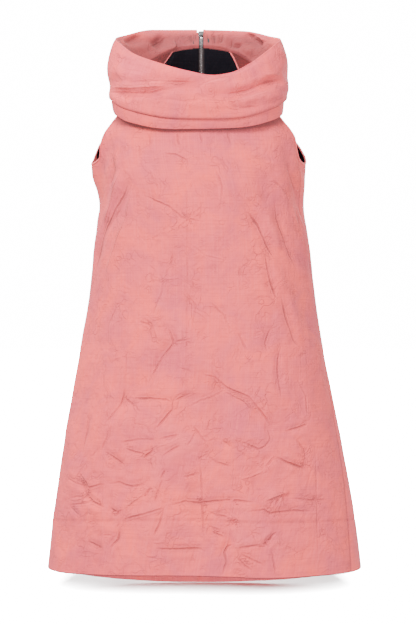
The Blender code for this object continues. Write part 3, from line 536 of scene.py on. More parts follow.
def makePanel(name, startAt, endAt, middle, settings):
    shares = np.concatenate([np.linspace(-1, 0, settings["hemRows"] + 1)[:-1],
                             np.linspace(0, 1, settings["rows"] + 1)])
    ends = [float(edge(body["middle"])) for edge in (startAt, endAt)]
    across = evenShares(*ends, settings["columns"] + 1)
    angle, height = panelGrid(startAt, endAt, shares, across)
    plain = plainBody(angle, height)
    run = lengthAlong(plain, 1)
    fromEnds = np.minimum(run, run[:, -1:] - run)
    seam = settings["seamSink"] * np.exp(-((fromEnds / settings["seamWidth"]) ** 2))
    stitching = height - stitchHeight(angle)
    pucker = (settings["stitchSink"] * np.exp(-((stitching / 3.2) ** 2)) * (0.75 + 0.25 * np.cos(run / 1.1))
              + 0.4 * np.cos(run / 1.55 + 2 * np.sin(run / 21)) * np.exp(-((stitching / 11) ** 2)))
    points, folds = skin(angle, height, 0.0, seam + pucker)
    points = openSeams(points)
    weave = np.stack([run - run[:, run.shape[1] // 2:][:, :1] + middle, height], -1)
    # the hem turns in over a small round edge and runs up inside to its stitching
    turn = [skin(angle[0], height[0] - drop, inside, seam[0] + pucker[0])[0] for inside, drop in settings["turn"]]
    facing = []
    for share in np.linspace(-1, -0.03, settings["facingRows"]):
        facingAngle, facingHeight = panelGrid(startAt, endAt, [share], across)
        facing.append(skin(facingAngle, facingHeight, layers["facingIn"], seam[0])[0][0])
    under = openSeams(np.array(facing[::-1] + turn[::-1]))
    allPoints = np.concatenate([under, points])
    down = lengthAlong(under)
    underWeave = np.stack([np.repeat(weave[:1, :, 0], len(under), 0), height[0] - 3 - (down[-1] - down)], -1)
    plainFolds = np.zeros(under.shape) + (0, farOff, 0)
    # painted shade: the collar's shadow on the body just below its foot, dark lines along the side seams and along the
    # hem stitching, and a darker lower edge where the hem turns in
    underCollar = curveAt(body["collarFoot"], angle % 360) - height
    shade = (settings["topShade"] * np.exp(-((np.maximum(underCollar - 1, 0) / 3.4) ** 2))
             + settings["seamShade"] * np.exp(-((fromEnds / 1.4) ** 2)) * (abs(plain[..., 0]) > 20)
             + settings["stitchShade"] * np.exp(-((stitching / 1.2) ** 2)) * (0.7 + 0.3 * np.cos(run / 4.1)))
    edgeShade = np.concatenate([np.zeros(settings["facingRows"]), np.full(len(turn), settings["edgeShade"])])
    shade = np.concatenate([edgeShade[:, None] + 0 * under[..., 0], shade])
    return layCloth(name, allPoints, np.concatenate([underWeave, weave]), layers["cloth"],
                    np.concatenate([plainFolds, folds]), shade)


def openSeams(points):  # leaves the seam's small gap at both side edges
    for edge, inward in ((0, 1), (-1, -2)):
        step = points[:, inward] - points[:, edge]
        points[:, edge] += layers["seamGap"] * step / np.linalg.norm(step, axis=1)[:, None]
    return points


print("cloth maths ready")

panel = {"hemRows": 26, "rows": 200, "facingRows": 12, "seamSink": 1.1, "seamWidth": 2.6, "stitchSink": 0.7,
         "topShade": 0.8, "edgeShade": 0.25, "seamShade": 0.5, "stitchShade": 0.3,
         "turn": ((0.0, 0.0), (0.35, 0.9), (0.95, 1.25), (1.55, 0.9))}


def frontEnd(height):
    return 360 + leftSeam(height)


front = makePanel("front", rightSeam, frontEnd, 0, {**panel, "columns": 180, "edgeShade": 0.85})
backLeft = makePanel("back_left", leftSeam, centreBack(1), 300, {**panel, "columns": 92})
backRight = makePanel("back_right", centreBack(-1), rightSeam, -300, {**panel, "columns": 92})
print("panels laid")


collar = {
    "centre": (-5, -15), "rim": (135, 106, 122, 1.9),   # half width, front depth, back depth, roundness
    "rimHeights": (  # angle, height
        (0, 7), (25, 17), (55, 33), (90, 38), (125, 35), (155, 19), (180, 7), (200, -5), (220, -26), (240, -42),
        (262, -57), (281, -64), (293, -60), (310, -42), (325, -22), (342, -4), (360, 7)),
    "foot": body["collarFoot"],
    "fall": (  # share down, half width, front depth, back depth, roundness
        (0.0, 136.4, 107.4, 123.4, 1.9), (0.05, 139.5, 112, 127.5, 1.92), (0.2, 145, 117.5, 132, 2.0),
        (0.38, 148, 121, 135, 2.1), (0.55, 148, 122, 137, 2.25), (0.7, 147, 122, 138.5, 2.45),
        (0.775, 145.8, 121, 138.5, 2.6), (0.8, 141.6, 116.5, 134.5, 2.65), (0.88, 140.8, 115, 134, 2.75),
        (1.0, 139, 111, 132.5, 2.9)),
    "folds": (  # start angle, start share, end angle, end share, half width, depth
        (180, 0.62, 226, 0.54, 0.1, -4), (226, 0.54, 270, 0.2, 0.1, -4), (205, 0.3, 248, 0.3, 0.09, 3),
        (276, 0.38, 312, 0.41, 0.1, -4), (312, 0.41, 356, 0.44, 0.1, -5), (262, 0.55, 338, 0.6, 0.1, 3),
        (14, 0.42, 62, 0.5, 0.1, -4), (104, 0.4, 168, 0.55, 0.1, -4)),
    "insideShade": (0.35, 0.8), "insideWidth": 122, "insideGain": 2.2, "outsideGain": 1.35, "crushGain": 1.4,
    "standTurn": 2.2, "standCrown": 3, "standFoot": 3,
    "notch": (7, 13), "notchTop": 38, "slit": (4, 4.6), "slitRing": 135, "neckRing": 85,
    "bandTop": 0.815, "tuckAt": 0.772, "fallFrom": 0.755, "fallTo": 0.035,     # shares of the way down
    "columns": 300, "standRows": 34, "fallRows": 44, "bandRows": 9,
    "roll": ((1.4, 0.3), (1.2, 1.2), (0.6, 1.9), (-0.2, 1.9), (-0.8, 1.2), (-1.2, 0.3)),   # out, up
    "tuck": ((0.0, 0.0), (-0.3, -2.2), (-1.5, -3.6), (-3.0, -3.4), (-4.0, -1.6), (-4.4, 0.6), (-4.5, -1.2),
             (-4.4, -3.2)),   # out, up: the edge of the fold over the band
    # creases seen from the front, and those inside the back: kind, depth, half width, course in x and height
    "frontCreases": (
        ("trough", 2.0, 6, ((-118, -73), (-79, -71), (-43, -74), (-14, -75), (0, -69))),
        ("trough", 2.6, 6, ((-150, -81), (-124, -87), (-103, -90), (-79, -90), (-54, -85), (-18, -76), (-4, -70))),
        ("ridge", 2.2, 6, ((-146, -74), (-110, -81), (-72, -81), (-40, -80))),
        ("ridge", 1.6, 6, ((98, -59), (128, -56))),
        ("trough", 3.0, 6, ((134, -59), (109, -70), (90, -80), (72, -88), (47, -93), (20, -93))),
        ("ridge", 1.8, 8, ((120, -76), (88, -92), (52, -104), (14, -106))),
        ("trough", 2.4, 5, ((138, -98), (118, -102), (96, -110))),
        ("trough", 1.6, 6, ((-100, -28), (-78, -42), (-46, -50))),
        ("step", 1.6, 6, ((60, -62), (20, -72), (-20, -88))),
        ("trough", 1.4, 7, ((30, -104), (56, -116), (88, -112))),
        ("trough", 1.4, 5, ((-60, -100), (-24, -106), (10, -100))),
        ("step", 1.5, 6, ((-136, -46), (-122, -70), (-126, -92))),
        ("trough", 1.4, 4, ((-142, -104), (-118, -112), (-98, -116)))),
    "insideCreases": (
        ("trough", 4.5, 7, ((-68, 26), (-80, 14), (-104, 2))),
        ("ridge", 3.0, 7, ((-56, 24), (-70, 6), (-92, -8))),
        ("trough", 3.0, 6, ((-96, 26), (-112, 14), (-124, 4))),
        ("trough", 5.0, 6, ((74, 38), (79, 27), (90, 17), (108, 1))),
        ("ridge", 3.0, 6, ((84, 34), (94, 22), (110, 10))),
        ("trough", 4.5, 6, ((96, 33), (108, 22), (123, 12))),
        ("trough", 3.0, 5, ((58, 22), (66, 5), (84, 2))),
        ("trough", 1.8, 4, ((-12, 34), (-15, 14))),
        ("trough", 1.8, 4, ((-22, 30), (-26, 10))),
        ("trough", 1.8, 4, ((12, 34), (14, 12))),
        ("trough", 2.0, 4, ((24, 32), (30, 8))),
        ("trough", 2.0, 5, ((40, 34), (44, 10)))),
    "backCreases": (
        ("trough", 2.8, 7, ((-140, -30), (-100, -44), (-60, -46), (-24, -36))),
        ("trough", 2.6, 7, ((140, -42), (104, -56), (60, -62), (26, -54))),
        ("ridge", 2.2, 7, ((-110, -62), (-66, -70), (-20, -64))),
        ("trough", 2.2, 6, ((-96, 4), (-70, -12), (-40, -14))),
        ("trough", 2.2, 6, ((30, 10), (58, -10), (96, -14))),
        ("step", 1.8, 6, ((110, -20), (74, -34), (36, -28)))),
}


def collarRing(angle, halfWidth, front, back, roundness, out=0.0):
    depth = np.where(np.sin(np.radians(angle)) > 0, back, front)
    x, y = roundRing(angle, halfWidth + out, depth + out, roundness)
    return collar["centre"][0] + x, collar["centre"][1] + y


def rimHeight(angle):
    return curveAt(collar["rimHeights"], angle % 360)


def standPoint(angle, share, out=0.0):  # up inside the neckline, then out to the rim
    inside = layers["standIn"] - out
    neck = plainBody(angle, neckHeight(angle) - collar["standFoot"], -inside)
    clear = plainBody(angle, neckHeight(angle) + collar["standTurn"], -inside)
    rx, ry = collarRing(angle, *collar["rim"], out=out)
    rim = np.stack([rx, ry, rimHeight(angle)], -1)
    part = np.clip((share - 0.1) / 0.9, 0, 1)
    low = neck + (clear - neck) * np.clip(share / 0.1, 0, 1)[..., None]
    point = low + (rim - low) * part[..., None]
    point[..., 2] += collar["standCrown"] * np.sin(math.pi * part) * part
    return point


def collarFold(angle, share):
    out = 0.0 * (angle + share)
    for startAngle, start, endAngle, end, halfWidth, depth in collar["folds"]:
        along = (angle % 360 - startAngle) / (endAngle - startAngle)
        across = (share - between(start, end, along)) / halfWidth
        ends = smooth((along + 0.2) / 0.4) * smooth((1.2 - along) / 0.4)
        out = out + depth * ends * np.exp(-across * across)
    return out * smooth(share / 0.12) * smooth((0.8 - share) / 0.1)


def fallHeight(angle, share):
    return between(rimHeight(angle) + 0.5, curveAt(collar["foot"], angle % 360), share)


def fallPoint(angle, share, out=0.0):
    ring = [curveAt(collar["fall"], share, k) for k in range(1, 5)]
    x, y = collarRing(angle, *ring, out=collarFold(angle, share) + out)
    return np.stack([x, y, fallHeight(angle, share)], -1)


midRing = (144, 118, 134, 2.15)
collarAngles = np.linspace(-90, 630, 2881)
collarSteps = np.diff(np.stack(collarRing(collarAngles, *midRing)), axis=1)
collarRun = np.concatenate([[0], np.cumsum(np.hypot(*collarSteps))])


def collarGirth(angle):
    return np.interp(angle, collarAngles, collarRun)


def collarAngleFor(x, behind, halfWidth):
    aside = np.clip((x - collar["centre"][0]) / halfWidth, -1, 1)
    turn = np.degrees(np.arcsin(abs(aside) ** (midRing[3] / 2))) * np.sign(aside)
    return 90 - turn if behind else 270 + turn


def slitAngles(gap, halfWidth, shares):
    turn = np.degrees(np.arcsin((gap / halfWidth) ** (collar["rim"][3] / 2)))
    return between(90 + turn, 450 - turn, shares)


def slitGap(belowRim, plain):
    return between(collar["notch"][0], plain, smooth(belowRim / collar["notch"][1]))


def evenRound(count):  # even steps round the collar, from one edge of the slit to the other
    run = collarGirth(np.linspace(90, 450, 721)) - collarGirth(90.0)
    return np.interp(np.linspace(0, 1, count), run / run[-1], np.linspace(0, 1, len(run)))


def collarRelief(angle, height, inside):
    run = collarGirth(angle)
    out = np.zeros(angle.shape + (3,)) + (0, farOff, 0)
    sets = ((collar["insideCreases"], True),) if inside else ((collar["frontCreases"], False),
                                                              (collar["backCreases"], True))
    for creases, behind in sets:
        halfWidth = collar["insideWidth"] if inside else midRing[0]
        for turn in ((0, 360) if behind else (0,)):
            found = layCreases(creases, run, height,
                               lambda x, z: collarGirth(collarAngleFor(x, behind, halfWidth) + turn))
            nearer = abs(found[..., 1]) < abs(out[..., 1])
            out[..., 0] += found[..., 0]
            out[..., 1:] = np.where(nearer[..., None], found[..., 1:], out[..., 1:])
    facets = 1.3 * crumple(run, height * 1.4, 58, 31) + 0.7 * crumple(run, height * 1.3, 27, 32)
    facets = facets + 0.3 * crumple(run, height, 13, 33)
    waves = 0.9 * np.sin(run / 33 + height / 14) * np.sin(height / 19 + run / 90)
    if inside:
        facets = facets * (1.0 + 1.8 * smooth((height + 30) / 40))
    gain = collar["insideGain"] if inside else collar["outsideGain"]
    out[..., 0] = out[..., 0] * gain + (facets + waves) * collar["crushGain"]
    return out


def makeCollar():
    shares = evenRound(collar["columns"] + 1)
    rows, folded, shaded = [], [], []

    def addRow(makePoint, share, gapPlain, halfWidth=collar["slitRing"], out=0.0, up=0.0, inside=False, calm=1.0,
               sink=0.0, shade=0.0):
        start = makePoint(np.array([90.0]), np.array([share]))[0]
        gap = slitGap(collar["notchTop"] - start[2] - up, gapPlain)
        angle = slitAngles(gap, halfWidth, shares)
        height = makePoint(angle, np.full(angle.shape, share))[:, 2]
        fromZip = smooth(np.minimum(angle - angle[0], angle[-1] - angle) / 8)
        folds = collarRelief(angle, height, inside)
        folds[:, 0] *= calm * (0.25 + 0.75 * fromZip)
        folds[:, 2] *= calm * (0.5 if inside else 0.55)
        point = makePoint(angle, np.full(angle.shape, share), out - sink + folds[:, 0] * (-1 if inside else 1))
        point[:, 2] += up
        point[0, 0], point[-1, 0] = -gap, gap
        rows.append(point)
        folded.append(folds)
        shaded.append(np.full(len(angle), shade))

    def calmNear(share, edge, width):
        return float(0.15 + 0.85 * smooth(abs(share - edge) / width))

    rimSlit, fallSlit = collar["slit"]
    # the band, from its lower edge up, with painted shade on its top row under the fold
    for share in np.linspace(1, collar["bandTop"], collar["bandRows"]):
        edge = 0.5 if share == 1 else 0.0
        addRow(fallPoint, share, fallSlit, sink=edge, calm=0.45, shade=float(share < collar["bandTop"] + 0.015))
    # the fold that hangs over it, with painted shade deepest inside the tuck
    for k, (out, up) in enumerate(reversed(collar["tuck"])):
        addRow(fallPoint, collar["tuckAt"], fallSlit, out=out, up=up - 1.5, calm=0.5, shade=1.0 - 0.13 * k)
    # the outer layer up to the rim
    for share in np.linspace(collar["fallFrom"], collar["fallTo"], collar["fallRows"]):
        calm = min(calmNear(share, collar["tuckAt"], 0.1), calmNear(share, 0.0, 0.12))
        addRow(fallPoint, share, fallSlit, calm=calm)
    # over the rim, where the relief that a row brings isn't used
    for out, up in collar["roll"]:
        def rimPoint(angle, share, relief=0.0, out=out, up=up):
            x, y = collarRing(angle, *collar["rim"], out=out)
            return np.stack([x, y, rimHeight(angle) + up], -1)
        addRow(rimPoint, 0.0, rimSlit, calm=0.0)
    # and down inside to the neckline, with painted shade that deepens from the rim down
    for share in np.linspace(0.975, 0, collar["standRows"]):
        calm = min(float(smooth((1 - share) / 0.16)), float(smooth(share / 0.25)))
        shade = between(*collar["insideShade"], float(smooth((1 - share) / 0.5)))
        ring = between(collar["neckRing"], collar["slitRing"], share)
        addRow(standPoint, share, rimSlit, ring, out=-1.2, inside=True, calm=calm, shade=shade)
    points = np.array(rows)
    run = collarGirth(between(90, 450, shares))
    weave = np.stack([np.repeat(run[None, :], len(points), 0), lengthAlong(points)], -1)
    return layCloth("collar", points, weave, layers["cloth"], np.array(folded), np.array(shaded))


collarCloth = makeCollar()
print("collar laid")


lining = {"foot": -275, "chest": -190.0, "setIn": 0.9, "edgeIn": 1.3, "eased": 16, "belowStand": 4.5,
          "besideZip": 2.6, "rows": 60, "columns": 70}


def fromEdge(angle, width):  # how far down a column leads this far in from a panel's upper edge
    left, right = [plainBody(angle + side, topHeight(angle + side)) for side in (-1, 1)]
    rise = abs(right[..., 2] - left[..., 2]) / np.linalg.norm(right[..., :2] - left[..., :2], axis=-1)
    return width * np.minimum(4.0, np.hypot(1, rise))


def makeLining(name, startAt, endAt):
    ends = [float(edge(lining["chest"])) for edge in (startAt, endAt)]
    across = evenShares(*ends, lining["columns"] + 1)
    across, share = np.meshgrid(across, np.linspace(0, 1, lining["rows"] + 1))
    angle = between(startAt(lining["chest"]), endAt(lining["chest"]), across)
    for _ in range(8):
        side = sideAngle(angle)
        inArmhole = smooth((body["neckEnds"][1] - side) / 1.5)
        top = topHeight(angle) - between(lining["belowStand"], fromEdge(angle, lining["setIn"]), inArmhole)
        height = between(lining["foot"], top, share)
        angle = between(startAt(height), endAt(height), across)
    fromTop = (topHeight(angle) - height) / fromEdge(angle, 1.0)
    atArmhole = (body["neckEnds"][1] - sideAngle(angle) > 0) * (1 - smooth(fromTop / lining["eased"]))
    points, _ = skin(angle, height, between(layers["liningIn"], lining["edgeIn"], atArmhole))
    gaps = (lining["besideZip"], layers["seamGap"])  # the right half starts at the zip, the left one ends there
    for column, inward, amount in zip((0, -1), (1, -2), gaps if "right" in name else gaps[::-1]):
        step = points[:, inward] - points[:, column]
        points[:, column] += amount * step / np.maximum(np.linalg.norm(step, axis=1), 2.0)[:, None]
    run = lengthAlong(points, 1)
    return layCloth(name, points, np.stack([run, height], -1), layers["lining"])


liningLeft = makeLining("lining_left", leftSeam, centreBack(1))
liningRight = makeLining("lining_right", centreBack(-1), rightSeam)

binding = {"steps": 150, "thickness": 0.5,
           # down from the edge, out from the panel's face
           "section": ((0.9, -1.15), (0.5, -1.2), (0.0, -1.15), (-0.5, -0.8), (-0.75, -0.2), (-0.6, 0.35), (-0.1, 0.6),
                       (0.6, 0.7), (1.4, 0.7), (2.2, 0.6))}


def armholeEdge(sign):  # from the front neck end round the armhole to the back neck end
    side = np.linspace(body["neckEnds"][0] + 0.4, body["neckEnds"][1] - 0.4, 900)
    angle = (side if sign > 0 else 180 - side) % 360
    return skin(angle, topHeight(angle))[0]


def makeBinding(name, sign):
    edge = armholeEdge(sign)
    run = lengthAlong(edge)
    even = np.linspace(0, run[-1], binding["steps"] + 1)
    edge = valuesAt(edge, run, even)
    ahead = unit(np.gradient(edge, axis=0))
    outward = np.stack([edge[:, 0] - curveAt(body["rings"], edge[:, 2], 2), edge[:, 1] * 1.7, 0 * even], 1)
    outward = unit(outward - (outward * ahead).sum(1)[:, None] * ahead)
    down = unit(np.cross(ahead, outward) * sign)
    points = np.array([edge + down * d + outward * n for d, n in binding["section"]])
    weave = np.stack([np.repeat(even[None, :], len(points), 0),
                      np.repeat(np.arange(len(points))[:, None] * 1.5, len(even), 1)], -1)
    strip = layCloth(name, points, weave, binding["thickness"])
    return strip, edge, down, outward


bindingLeft, edgeLeft, downLeft, outLeft = makeBinding("binding_left", 1)
bindingRight, edgeRight, downRight, outRight = makeBinding("binding_right", -1)
print("linings and bindings laid")

# the zip: tapes, teeth, and the metal parts

zipper = {"neck": 7.5, "tapeEdge": 0.5, "tapeWidth": 13.4, "tapeFoot": -436, "top": 35.5,
          "sliderLength": 12, "besideSlider": 4.3, "offStand": 1.1, "tapeRows": 170, "tapeColumns": 8,
          "teethFoot": -411, "teethTop": 22.2, "pitch": 2.6, "aside": 1.15, "bevel": 0.3,
          "tooth": (3.3, 1.05, 1.9)}   # wide, tall, deep


def zipLine(height):  # how far back the zip's middle lies where it runs up the collar
    share = np.linspace(0, 1, 401)
    line = standPoint(np.full(401, 90.0), share)
    out = between(0.5, zipper["offStand"], smooth((height - zipper["neck"]) / 4)) + layers["tape"] / 2
    return np.interp(height, line[:, 2], line[:, 1]) + out + 0.1


def zipPoint(x, height, out=0.0):
    x, height = np.broadcast_arrays(np.asarray(x, float), np.asarray(height, float))
    low = np.minimum(height, zipper["neck"])
    onBack, _ = skin(angleFor(x, low, True), low, layers["tapeIn"] + 0.1)
    middle = zipLine(height)
    halfWidth = between(collar["neckRing"], collar["slitRing"], smooth(height / 40))
    flat = middle * (1 - (abs(x) / halfWidth) ** 2.2) ** (1 / 2.2)
    turned = smooth((height - zipper["neck"]) / 5)
    y = np.where(height <= zipper["neck"], onBack[..., 1], between(onBack[..., 1], flat, turned))
    return np.stack([x, y + out, height], -1)


def makeTape(name, sign):
    heights = np.linspace(zipper["tapeFoot"], zipper["top"] - 2, zipper["tapeRows"])
    beside = smooth((heights - zipper["top"] + zipper["sliderLength"]) / 3)
    inner = between(zipper["tapeEdge"], zipper["besideSlider"], beside)
    share = np.linspace(0, 1, zipper["tapeColumns"])
    order = share if sign > 0 else 1 - share
    across = between(zipper["tapeEdge"] + zipper["tapeWidth"], inner[:, None], order[None, :])
    points = zipPoint(sign * across, heights[:, None])
    points[..., 1] += 0.55 * np.exp(-(((across - inner[:, None]) / 1.1) ** 2))  # the woven cord along its inner edge
    weave = np.stack([across, np.repeat(heights[:, None], len(share), 1)], -1)
    return layCloth(name, points, weave, layers["tape"])


tapeLeft, tapeRight = makeTape("tape_left", 1), makeTape("tape_right", -1)


def joinCopies(name, shape, places):  # each copy is turned to its frame (across, up, out) and set at its place
    corners = np.array([v.co[:] for v in shape.data.vertices])
    faces = [list(p.vertices) for p in shape.data.polygons]
    verts, polys = [], []
    for k, (place, across, up, out) in enumerate(places):
        turned = place + corners[:, :1] * across + corners[:, 2:] * up + corners[:, 1:2] * out
        verts.append(turned / 1000)
        polys += [[i + k * len(corners) for i in face] for face in faces]
    mesh = bpy.data.meshes.new(name)
    mesh.from_pydata(np.concatenate(verts).tolist(), [], polys)
    mesh.update()
    joined = bpy.data.objects.new(name, mesh)
    bpy.context.scene.collection.objects.link(joined)
    bpy.data.objects.remove(shape)
    deselectAll()
    joined.select_set(True)
    bpy.context.view_layer.objects.active = joined
    bpy.ops.object.mode_set(mode="EDIT")
    bpy.ops.mesh.select_all(action="SELECT")
    bpy.ops.mesh.normals_make_consistent(inside=False)
    bpy.ops.object.mode_set(mode="OBJECT")
    bpy.ops.object.shade_smooth_by_angle(angle=math.radians(40))
    return joined


def makeTeeth():
    wide, tall, deep = zipper["tooth"]
    deselectAll()
    bpy.ops.mesh.primitive_cube_add(size=1)
    tooth = bpy.context.object
    bpy.ops.object.mode_set(mode="EDIT")
    bpy.ops.transform.resize(value=(wide, deep, tall))
    bpy.ops.mesh.bevel(offset=zipper["bevel"], segments=1)
    bpy.ops.object.mode_set(mode="OBJECT")
    heights = np.arange(zipper["teethFoot"], zipper["teethTop"], zipper["pitch"] / 2)
    here, ahead = zipPoint(0 * heights, heights, 0.1), zipPoint(0 * heights, heights + 1, 0.1)
    places = []
    for k, (place, nextPlace) in enumerate(zip(here, ahead)):
        up = (nextPlace - place) / np.linalg.norm(nextPlace - place)
        side = 1.0 if k % 2 else -1.0
        across = np.array([side, 0, 0])
        places.append((place + across * zipper["aside"], across, up, np.cross(up, across) * side))
    return joinCopies("teeth", tooth, places)


teeth = makeTeeth()
print("zip made")

# stitching: one stitch is modelled and copied

thread = {"length": 2.7, "thick": 0.42, "pitch": 3.3, "sides": 6, "proud": 0.12,
          "besideHem": 1.6, "besideZip": 9.0, "onBinding": (2.0, 0.75)}   # down from its edge, out from the cloth


def makeStitches(name, lines):  # a line is its points and the way out of the cloth at each
    pitch = thread["pitch"]
    deselectAll()
    bpy.ops.mesh.primitive_uv_sphere_add(segments=thread["sides"], ring_count=4, radius=0.5)
    stitch = bpy.context.object
    bpy.ops.object.mode_set(mode="EDIT")
    bpy.ops.transform.resize(value=(thread["thick"], thread["thick"], thread["length"]))
    bpy.ops.object.mode_set(mode="OBJECT")
    places = []
    for points, outward in lines:
        run = lengthAlong(points)
        even = np.arange(pitch, run[-1] - pitch / 2, pitch)
        ahead = unit(valuesAt(points, run, even + 0.6) - valuesAt(points, run, even - 0.6))
        for place, up, away in zip(valuesAt(points, run, even), ahead, unit(valuesAt(outward, run, even))):
            places.append((place + away * thread["proud"], np.cross(up, away), up, away))
    return joinCopies(name, stitch, places)


def outOfBody(points):
    return unit(np.stack([points[:, 0] * 0.7, points[:, 1] * 1.3, 0 * points[:, 0]], 1))


def hemLine(startAt, endAt, lift):
    angle, height = panelGrid(startAt, endAt, [0.0], np.linspace(0.004, 0.996, 600))
    points = skin(angle, height + lift, 0.0, panel["stitchSink"] * 0.75)[0][0]
    return points, outOfBody(points)


stitchLines = []
for startAt, endAt in ((rightSeam, frontEnd), (leftSeam, centreBack(1)), (centreBack(-1), rightSeam)):
    for lift in (thread["besideHem"], -thread["besideHem"]):
        stitchLines.append(hemLine(startAt, endAt, lift))
for sign in (1, -1):
    heights = np.linspace(body["zipFoot"] - 8, -8, 300)
    points, _ = skin(angleFor(sign * thread["besideZip"], heights, True), heights)
    stitchLines.append((points, outOfBody(points)))
stitchDown, stitchOut = thread["onBinding"]
for edge, down, out in ((edgeLeft, downLeft, outLeft), (edgeRight, downRight, outRight)):
    stitchLines.append((edge + down * stitchDown + out * stitchOut, out))
stitches = makeStitches("stitching", stitchLines)
print("stitching made")

# materials


class Wire:  # wraps a socket so that it can be added, multiplied and so on
    def __init__(self, socket):
        self.socket = socket

    def maths(self, operation, other, flipped=False):
        pair = (other, self) if flipped else (self, other)
        return addNode(self.socket.id_data, "ShaderNodeMath", {"operation": operation}, dict(enumerate(pair)))

    def __add__(self, other):
        return self.maths("ADD", other)

    def __sub__(self, other):
        return self.maths("SUBTRACT", other)

    def __rsub__(self, other):
        return self.maths("SUBTRACT", other, True)

    def __mul__(self, other):
        return self.maths("MULTIPLY", other)

    def __rpow__(self, other):
        return self.maths("POWER", other, True)

    __radd__, __rmul__ = __add__, __mul__


def addNode(tree, kind, settings, sockets, output=0):
    node = tree.nodes.new(kind)
    for key, value in settings.items():
        setattr(node, key, value)
    for key, value in sockets.items():
        if isinstance(value, Wire):
            tree.links.new(value.socket, node.inputs[key])
        else:
            node.inputs[key].default_value = value
    return Wire(node.outputs[output])


def startMaterial(name, **even):  # what is the same all over is set on the shader's own sockets
    made = bpy.data.materials.new(name)
    made.use_nodes = True
    shader = made.node_tree.nodes["Principled BSDF"]
    for socket, value in even.items():
        shader.inputs[socket.replace("_", " ")].default_value = value
    return made, made.node_tree, shader


def feed(shader, **wires):
    for socket, wire in wires.items():
        shader.id_data.links.new(wire.socket, shader.inputs[socket.replace("_", " ")])


def mixColours(tree, share, first, second, blend="MIX"):
    return addNode(tree, "ShaderNodeMix", {"data_type": "RGBA", "blend_type": blend},
                   {0: share, 6: first, 7: second}, 2)


def colour(r, g, b):
    return (r, g, b, 1.0)


def objectPlace(tree):
    return addNode(tree, "ShaderNodeTexCoord", {}, {}, 3)


def weavePlace(tree):  # the piece's own UV map: metres along its threads
    return addNode(tree, "ShaderNodeTexCoord", {}, {}, 2)


def bumpOf(tree, height, strength, distance, **under):
    return addNode(tree, "ShaderNodeBump", {}, {"Strength": strength, "Distance": distance, "Height": height, **under})


def noiseAt(tree, where, scale, detail=3.0, rough=0.55, distortion=0.0):
    return addNode(tree, "ShaderNodeTexNoise", {}, {"Vector": where, "Scale": scale, "Detail": detail,
                                                    "Roughness": rough, "Distortion": distortion})


def stretched(tree, where, scale, turn=0.0):
    return addNode(tree, "ShaderNodeMapping", {}, {"Vector": where, "Scale": scale, "Rotation": (0, 0, turn)})


def rampOf(tree, value, low, high):
    return addNode(tree, "ShaderNodeMapRange", {}, {"Value": value, "From Min": low, "From Max": high})


rose = {
    "base": colour(0.84, 0.076, 0.088), "cool": colour(0.66, 0.068, 0.104), "warm": colour(0.96, 0.084, 0.072),
    # below, the first tone lightens the warp threads and is a painted highlight on ridges and crease lips; deep darkens
    # the weft threads and is painted shade in troughs, crease lines and crinkles
    "paleThreadAndHighlight": colour(0.95, 0.125, 0.130), "deep": colour(0.46, 0.046, 0.052),
    # shaded is the painted shade tone; inner is a duller tone that stands in for shade on the inner faces; glow is a
    # faint even light that the cloth gives off, painted light
    "shaded": colour(0.13, 0.020, 0.022), "inner": colour(0.76, 0.094, 0.098), "glow": colour(0.09, 0.053, 0.053),
    "sheenTint": colour(1.0, 0.78, 0.76), "roughness": 0.78, "sheen": 0.06,
    "lineWidth": 1.1, "lineDeep": 0.8, "lip": 0.35, "lipAt": 2.8,      # of a crease's sharp line, in mm
}

roseBinding = {"cool": colour(0.90, 0.110, 0.130), "warm": colour(0.95, 0.125, 0.125),
               "base": colour(0.94, 0.120, 0.130), "glow": colour(0.22, 0.100, 0.100)}


def bell(value, width):  # 1 in the middle, gone two widths away
    part = value * (1 / width)
    return math.e ** (part * part * -1)


def attributeOf(tree, name):
    return addNode(tree, "ShaderNodeAttribute", {"attribute_name": name}, {}, 2)


